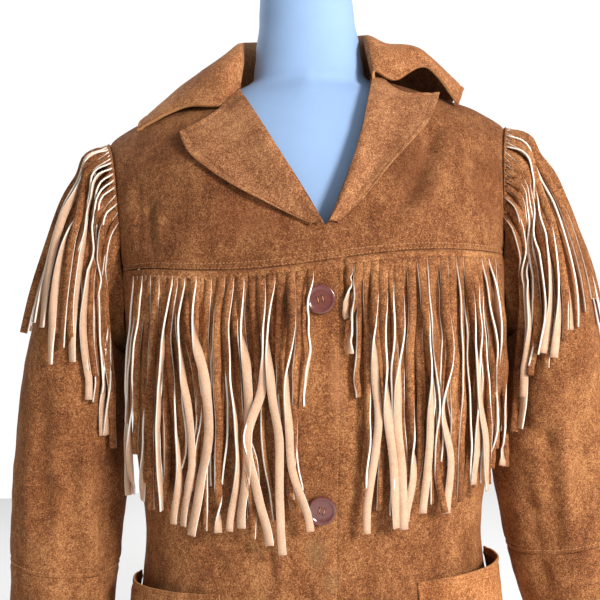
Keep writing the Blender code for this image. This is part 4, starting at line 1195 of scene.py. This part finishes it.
class JACKET_OT_front_fringe(JacketOperator):
    """Builds the fringe strands that hang from the front yoke seams."""
    bl_idname = "jacket.front_fringe"
    bl_label = "Front fringe"

    def make(self, s, mats):
        skins = [mats["strand"], mats["pale"], mats["cut"]]
        for side, word, table in ((-1, "right", STRANDS_RIGHT), (1, "left", STRANDS_LEFT)):
            bm = bmesh.new()
            self.strip(bm, side, s)
            for number, (x0, low, width, lift, shift, turn) in enumerate(table):
                self.hang(bm, side, number, x0 / 1000, low / 1000, width / 1000, lift, shift, turn, s)
            rng = np.random.default_rng(5 if side < 0 else 8)
            for number, (one, two) in enumerate(zip(table, table[1:])):  # between those in front
                x0 = (one[0] + two[0]) / 2000
                low = (one[1] + two[1]) / 2000 + rng.uniform(*BACK_SHORTER)
                shift = [(a + b) / 2 + rng.uniform(-1.5, 1.5) for a, b in zip(one[4], two[4])]
                turn = rng.choice((-1, 1)) * BACK_TURN * rng.uniform(18, 62)
                self.hang(bm, side, number + 40, x0, low, rng.uniform(*BACK_WIDTHS), 0, shift, turn, s)
            close_strands(bm)
            obj = link(bm, f"fringe_front_{word}_strands", skins)
            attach(obj, "root")
            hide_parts(f"fringe_front_{word}")
            ON_SHEETS.setdefault(f"yoke_front_{word}", []).append(obj)

    def strip(self, bm, side, s):
        """The uncut strip that the slits start from."""
        xs = np.linspace(*STRIP_REACH[side], 90)
        middle = s.strip_height / 2 + 0.0006
        path = np.array([off_front(x, seam_z(x) - middle, lap(x, seam_z(x), side) + 0.0013) for x in xs])
        normal = np.tile((0.0, -1.0, 0.0), (len(xs), 1))
        normal[:, 0] = [(wall_y(x + 0.002, 0.56) - wall_y(x - 0.002, 0.56)) / 0.004 for x in xs]
        strand(bm, path, normal, np.zeros(len(xs)), s.strip_height, s.strand_thick, kinds=(0,) * 6)

    def hang(self, bm, side, number, x0, low, width, lift, shift, turn, s):
        """One strand from the seam down, lifted off the front, bent and twisted by its stations."""
        top = seam_z(x0) - s.strip_height * 0.62
        t = np.linspace(0, 1, 46)
        xs = x0 + between_values(shift, t) / 1000
        zs = top + (low - top) * t
        wobble = [noise.noise(Vector((number * 3.7, side * 5.1, u * 6.0))) for u in t]
        xs += np.array(wobble) * 0.0018 * np.clip(t * 5, 0, 1)
        ys = []
        for x, z, u in zip(xs, zs, t):
            body, seam = wall_y(x, z), wall_y(x0, top)
            y = FRINGE_HANG * min(body, seam) + (1 - FRINGE_HANG) * body
            clear = 0.0016 + FRINGE_CLEAR * (abs(x) / ARMHOLE_X) ** 6
            rise = (0.0010 + 0.0024 * lift) * smooth(u / 0.14)
            ys.append(min(y, body) - lap(x, z, side) - clear - rise)
        path = np.stack([xs, ys, zs], axis=1)
        slope = [(wall_y(x + 0.004, z) - wall_y(x - 0.004, z)) / 0.008 for x, z in zip(xs, zs)]
        normal = np.stack([slope, -np.ones(len(t)), np.zeros(len(t))], axis=1)
        jitter = [noise.noise(Vector((number * 2.3, side * 9.7 + 40, u * 7.0))) * 26 for u in t]
        turns = np.radians(between_values(turn, t) + np.array(jitter) * np.clip(t * 4, 0, 1))
        reach = np.abs(np.sin(turns)) * width / 2
        path[:, 1] -= reach * 0.75
        widths = width * (1 - 0.12 * t)
        cup = STRAND_CUP * (1 if number % 3 else -1) * np.clip(t * 4, 0, 1)
        strand(bm, path, normal, turns, widths, s.strand_thick, cup)


FALL_LENGTHS = (0.196, 0.236)  # of the strands over a sleeve's head
FALL_WIDTHS = (0.0072, 0.0088)
FALL_LOOPS = (0.002, 0.0075)  # how far a strand springs up before it falls
FALL_PLACES, FALL_COUNT = (4.1, 17.9), 38  # where they start round the armhole, front to back
FALL_STRIP = (4.0, 18.0)  # the uncut strip's ends, round the armhole
FALL_START, FALL_RINGS = 0.10, 7.0  # the ring they start at, and how many they can pass
TOP_COLUMN = 11  # the column of a sleeve's rings at the top of the arm


class JACKET_OT_sleeve_fringe(JacketOperator):
    """Builds the fringe strands that fall from the armhole seams over the sleeve heads."""
    bl_idname = "jacket.sleeve_fringe"
    bl_label = "Sleeve fringe"

    def make(self, s, mats):
        skins = [mats["strand"], mats["pale"], mats["cut"]]
        for side, word in ((-1, "right"), (1, "left")):
            rings = sleeve_rings(side)
            rng = np.random.default_rng(11 if side < 0 else 29)
            bm = bmesh.new()
            self.strip(bm, rings, side, s)
            for number, around in enumerate(np.linspace(*FALL_PLACES, FALL_COUNT)):
                self.fall(bm, rings, side, number, around, rng, s)
            close_strands(bm)
            obj = link(bm, f"fringe_sleeve_{word}_strands", skins)
            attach(obj, "root")
            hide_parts(f"fringe_sleeve_{word}")
            ON_SHEETS.setdefault(f"sleeve_upper_{word}", []).append(obj)

    @staticmethod
    def outward(rings, around, ring, side):
        """The sleeve's outward normal at a place round it and along it."""
        across = sleeve_at(rings, around + 0.1, ring) - sleeve_at(rings, around - 0.1, ring)
        down = sleeve_at(rings, around, ring + 0.05) - sleeve_at(rings, around, max(ring - 0.05, 0))
        return np.array(across.cross(down).normalized() * -side)

    def strip(self, bm, rings, side, s):
        """The uncut strip along the armhole seam."""
        places = np.linspace(*FALL_STRIP, 80)
        normal = np.array([self.outward(rings, a, FALL_START, side) for a in places])
        path = np.array([sleeve_at(rings, a, FALL_START) for a in places]) + normal * 0.0012
        strand(bm, path, normal, np.zeros(len(places)), 0.006, s.strand_thick, kinds=(0,) * 6)

    def fall(self, bm, rings, side, number, around, rng, s):
        """One strand from the armhole seam, round the sleeve's head and down its surface."""
        length = rng.uniform(*FALL_LENGTHS)
        drift = rng.normal(0, 0.28)
        sway_by = rng.uniform(-0.35, 0.35)
        lift = 0.0012 + 0.0016 * (number % 4) + rng.uniform(0, 0.0012)
        loop = rng.uniform(*FALL_LOOPS)
        start_turn = rng.choice((-1, 1)) * rng.uniform(28, 66)
        end_turn = start_turn * rng.uniform(-0.6, 1.3) + rng.choice((0, 0, 180)) + rng.uniform(-30, 30)
        width = rng.uniform(*FALL_WIDTHS)
        fine = np.linspace(0, 1, 120)
        ring_values = FALL_START + fine * FALL_RINGS
        front = around <= TOP_COLUMN
        away = around if front else 2 * TOP_COLUMN - around
        landing = 2.6 + 7.9 * ((away - 4) / 7) ** 2.2
        fallen = np.clip((fine - 0.04) / 0.60, 0, 1) ** 0.9 * (landing - away)
        a_values = around + (fallen if front else -fallen) + drift * fine
        a_values += sway_by * np.sin(fine * 7.5 + number) * np.clip(fine * 4, 0, 1) * 0.6
        surface = np.array([sleeve_at(rings, a, r) for a, r in zip(a_values, ring_values)])
        gone = np.concatenate([[0], np.cumsum(np.linalg.norm(np.diff(surface, axis=0), axis=1))])
        wanted = np.linspace(0, length, 44)
        rs, places = np.interp(wanted, gone, ring_values), np.interp(wanted, gone, a_values)
        surface = np.array([sleeve_at(rings, a, r) for a, r in zip(places, rs)])
        normal = np.array([self.outward(rings, a, r, side) for a, r in zip(places, rs)])
        t = wanted / length
        stand = lift * np.clip(t / 0.12, 0, 1) + 0.0012 + loop * np.exp(-(((t - 0.10) / 0.07) ** 2))
        swell = np.clip((t - 0.2) / 0.8, 0, 1)
        twist = (0, start_turn * 0.7, start_turn, (start_turn + end_turn) / 2, end_turn)
        turns = np.radians(np.interp(t, (0, 0.06, 0.2, 0.5, 1.0), twist))
        stand = stand + np.abs(np.sin(turns)) * width * 0.40
        path = surface + normal * stand[:, None]
        path[:, 1] += 0.0016 * np.sin(t * 9 + number * 1.7) * swell
        strand(bm, path, normal, turns, width * (1 - 0.10 * t), s.strand_thick, STRAND_CUP * (-1) ** number)


BUTTON_TURNS = (12, -20, 5)  # how far each button is turned, in degrees


class JACKET_OT_buttons(JacketOperator):
    """Builds the three rimmed, four-hole buttons with their thread."""
    bl_idname = "jacket.buttons"
    bl_label = "Buttons"

    def make(self, s, mats):
        for number, (x, z) in enumerate(BUTTONS, 1):
            seats = [wall_y(x + dx, z + dz) for dx in (-0.012, 0, 0.012) for dz in (-0.012, 0, 0.012)]
            tilt = -math.atan2(wall_y(x, z + 0.012) - wall_y(x, z - 0.012), 0.024)
            y = wall_y(x, z) - LAP_STEP - 2 * SEAM - (wall_y(x, z) - min(seats)) * 0.3 - 0.0006
            place = Matrix.Translation((x, y, z)) @ Matrix.Rotation(math.radians(90) + tilt, 4, "X")
            place = place @ Matrix.Rotation(math.radians(BUTTON_TURNS[number - 1]), 4, "Z")
            bm = bmesh.new()
            self.disc(bm)
            bmesh.ops.transform(bm, matrix=place, verts=bm.verts)
            obj = link(bm, f"button_{number}_resin", [mats["horn"]])
            obj.data.set_sharp_from_angle(angle=math.radians(40))
            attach(obj, "root")
            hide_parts(f"button_{number}")
            bm = bmesh.new()
            top = BUTTON_THICK - BUTTON_DISH
            for sx in (-1, 1):
                for turn in (-0.35, 0.35):
                    bar = Matrix.Translation((sx * HOLE_PITCH / 2, turn * 0.0012, top + 0.0001))
                    size = Matrix.Diagonal((0.00055, HOLE_PITCH / 2 + 0.0008, 0.00055, 1.0))
                    bmesh.ops.create_icosphere(bm, subdivisions=2, radius=1.0, matrix=bar @ size)
            bmesh.ops.transform(bm, matrix=place, verts=bm.verts)
            thread = link(bm, f"button_{number}_thread", [mats["thread"]])
            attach(thread, "root")

    def disc(self, bm):
        """A turned rim round a web with four holes, closed by bridging its front and back faces."""
        inner = BUTTON_RADIUS - 2 * BUTTON_RIM
        top = BUTTON_THICK - BUTTON_DISH
        loops = []
        for height in (0.0, top):
            edges = []
            circle = bmesh.ops.create_circle(
                bm, segments=64, radius=inner, matrix=Matrix.Translation((0, 0, height)))["verts"]
            edges += list({e for v in circle for e in v.link_edges})
            for sx in (-1, 1):
                for sy in (-1, 1):
                    centre = Matrix.Translation((sx * HOLE_PITCH / 2, sy * HOLE_PITCH / 2, height))
                    hole = bmesh.ops.create_circle(
                        bm, segments=16, radius=HOLE_RADIUS, matrix=centre)["verts"]
                    ring = list({e for v in hole for e in v.link_edges})
                    loops.append(ring)
                    edges += ring
            bmesh.ops.triangle_fill(bm, use_beauty=True, use_dissolve=False, edges=edges)
        for low, high in zip(loops[:4], loops[4:]):
            bmesh.ops.bridge_loops(bm, edges=low + high)
        profile = [
            (inner, top),
            (inner + 0.25 * BUTTON_RIM, top + 0.12 * BUTTON_DISH),
            (inner + 0.62 * BUTTON_RIM, BUTTON_THICK - 0.12 * BUTTON_DISH),
            (inner + 0.95 * BUTTON_RIM, BUTTON_THICK),
            (BUTTON_RADIUS - 0.62 * BUTTON_RIM, BUTTON_THICK),
            (BUTTON_RADIUS - 0.20 * BUTTON_RIM, BUTTON_THICK * 0.92),
            (BUTTON_RADIUS, BUTTON_THICK * 0.66),
            (BUTTON_RADIUS * 0.985, BUTTON_THICK * 0.42),
            (BUTTON_RADIUS * 0.93, BUTTON_THICK * 0.22),
            (BUTTON_RADIUS * 0.80, 0.0),
            (inner, 0.0),
        ]
        line = [bm.verts.new((r, 0, h)) for r, h in profile]
        edges = [bm.edges.new(pair) for pair in zip(line, line[1:])]
        bmesh.ops.spin(bm, geom=line + edges, cent=(0, 0, 0), axis=(0, 0, 1), angle=2 * math.pi, steps=64,
                       use_merge=True)
        bmesh.ops.remove_doubles(bm, verts=bm.verts, dist=2e-5)
        bmesh.ops.recalc_face_normals(bm, faces=bm.faces)


class JACKET_OT_stitching(JacketOperator):
    """Lays the topstitching along the seams and turned edges, as separate threads."""
    bl_idname = "jacket.stitching"
    bl_label = "Stitching"

    def make(self, s, mats):
        inset = STITCH_INSET
        hem = ("r0", inset, 0.02, 1)
        pocket = (*((side, 0.0030, 0, 1) for side in ("s0", "s1", "r0")), ("r1", inset, 0, 1))
        lapel = (("s1", inset, 0.02, 0.96), ("r1", inset, 0, 0.95))
        rows = {
            # piece: side, inset, from share, to share
            "yoke_front_right": (("r0", inset, 0, 1), ("r0", 0.0016, 0, 1)),
            "yoke_front_left": (("r0", inset, 0.15, 1), ("r0", 0.0016, 0.15, 1)),
            "yoke_back": (("r0", inset, 0, 1),),
            "lapel_right": lapel,
            "lapel_left": lapel,
            "collar": (("s0", inset, 0.25, 0.97), ("s1", inset, 0.25, 0.97), ("r1", inset, 0.01, 0.99)),
            "front_right": (("s0", inset, 0.01, 0.99), hem),
            "front_left": (hem,),
            "back": (("r0", inset, 0, 1),),
            "pocket_right": pocket,
            "pocket_left": pocket,
            "sleeve_upper_right": (("r1", 0.0040, 0, 1),),
            "sleeve_upper_left": (("r1", 0.0040, 0, 1),),
            "sleeve_lower_right": (("r1", inset, 0, 1),),
            "sleeve_lower_left": (("r1", inset, 0, 1),),
        }
        for piece, edges in rows.items():
            bm = bmesh.new()
            rise = 0.5 * (s.turned_wall) if piece == "collar" else 0.0
            for side, away, start, end in edges:
                points, normals = piece_line(piece, side, away, start, end)
                shift = normals * (-0.00035 + rise)
                stitch_row(bm, points + shift, normals, s.stitch_pitch, s.stitch_length, s.stitch_radius)
            obj = link(bm, f"stitches_{piece}", [mats["thread"]])
            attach(obj, "root")
            ON_SHEETS.setdefault(piece, []).append(obj)


class JACKET_OT_sheets(JacketOperator):
    """An empty step: it declares no cut piece and makes nothing."""
    bl_idname = "jacket.sheets"
    bl_label = "Declare the cut pieces"

    def make(self, s, mats):
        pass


KEY_PLACE, KEY_TARGET, KEY_SIZE = (1.30, -1.55, 1.05), (0.02, -0.05, 0.45), 0.5
RIM_PLACE, RIM_TARGET, RIM_SIZE, RIM_SHARE = (-0.9, 0.9, 1.6), (0.0, 0.0, 0.60), 0.8, 0.25
CAMERA_PLACE, CAMERA_LENS, CAMERA_ROLL = (-0.015, -0.97, 0.53), 54, -2.45


class JACKET_OT_stage(JacketOperator):
    """Sets the pale floor, the soft studio light and the camera in front, turned a little."""
    bl_idname = "jacket.stage"
    bl_label = "Stage"

    def make(self, s, mats):
        bm = bmesh.new()
        bmesh.ops.create_grid(bm, x_segments=1, y_segments=1, size=1.6)
        floor = link(bm, "studio_floor", [plain_material("floor_matt_paper", tuple(s.floor_colour))])
        scene = bpy.context.scene
        world = bpy.data.worlds.new("studio")
        world.use_nodes = True
        tree = world.node_tree
        sky = tree.nodes["Background"]
        sky.inputs["Color"].default_value = (1, 1, 1, 1)
        way = add(tree, "ShaderNodeSeparateXYZ", (-600, 0), {0: add(
            tree, "ShaderNodeTexCoord", (-800, 0)).outputs["Generated"]})
        side = add(tree, "ShaderNodeMapRange", (-400, 100), {"Value": way.outputs[0]})
        for key, value in {"From Min": -0.8, "From Max": 0.9, "To Min": 0.30, "To Max": 0.78}.items():
            side.inputs[key].default_value = value
        behind = add(tree, "ShaderNodeMapRange", (-400, -150), {"Value": way.outputs[1]})
        for key, value in {"From Min": 0.62, "From Max": 0.80}.items():
            behind.inputs[key].default_value = value
        level = add(tree, "ShaderNodeMix", (-200, 0), {0: behind.outputs[0], 2: side.outputs[0]})
        level.inputs[3].default_value = 1.05  # the white backdrop, evenly lit
        tree.links.new(level.outputs[0], sky.inputs["Strength"])
        scene.world = world
        scene.view_settings.view_transform = "Standard"
        self.light("key", KEY_PLACE, KEY_TARGET, KEY_SIZE, s.key_power)
        self.light("rim", RIM_PLACE, RIM_TARGET, RIM_SIZE, s.key_power * RIM_SHARE)
        camera = bpy.data.objects.new("front_camera", bpy.data.cameras.new("front_camera"))
        camera.data.lens = CAMERA_LENS
        camera.data.sensor_width = 36
        camera.data.dof.use_dof = False
        level_ahead = Matrix.Rotation(math.pi / 2, 4, "X")
        roll = Matrix.Rotation(math.radians(CAMERA_ROLL), 4, "Z")
        camera.matrix_world = Matrix.Translation(CAMERA_PLACE) @ level_ahead @ roll
        scene.collection.objects.link(camera)
        scene.camera = camera

    @staticmethod
    def light(name, place, target, size, power):
        lamp = bpy.data.lights.new(name, "AREA")
        lamp.shape = "DISK"
        lamp.size = size
        lamp.energy = power
        obj = bpy.data.objects.new(name, lamp)
        obj.location = place
        obj.rotation_euler = (Vector(target) - Vector(place)).to_track_quat("-Z", "Y").to_euler()
        bpy.context.scene.collection.objects.link(obj)


class JACKET_PT_panel(bpy.types.Panel):
    """Lists the jacket's pieces and settings."""
    bl_idname = "JACKET_PT_panel"
    bl_label = "Suede jacket"
    bl_space_type = "VIEW_3D"
    bl_region_type = "UI"
    bl_category = "Jacket"

    def draw(self, context):
        settings = context.scene.suede_jacket
        for key in SuedeJacketSettings.__annotations__:
            self.layout.prop(settings, key)
        for operator in OPERATORS:
            self.layout.operator(operator.bl_idname)


OPERATORS = (
    JACKET_OT_form, JACKET_OT_body, JACKET_OT_lapels, JACKET_OT_collar, JACKET_OT_sleeves, JACKET_OT_pockets,
    JACKET_OT_front_fringe, JACKET_OT_sleeve_fringe, JACKET_OT_buttons, JACKET_OT_stitching, JACKET_OT_sheets,
    JACKET_OT_stage,
)
CLASSES = (SuedeJacketSettings, *OPERATORS, JACKET_PT_panel)


def register():
    for cls in CLASSES:
        bpy.utils.register_class(cls)
    bpy.types.Scene.suede_jacket = bpy.props.PointerProperty(type=SuedeJacketSettings)


def unregister():
    del bpy.types.Scene.suede_jacket
    for cls in reversed(CLASSES):
        bpy.utils.unregister_class(cls)


def main():
    register()
    for operator in OPERATORS:
        group, action = operator.bl_idname.split(".")
        getattr(getattr(bpy.ops, group), action)()


if __name__ == "__main__":
    main()
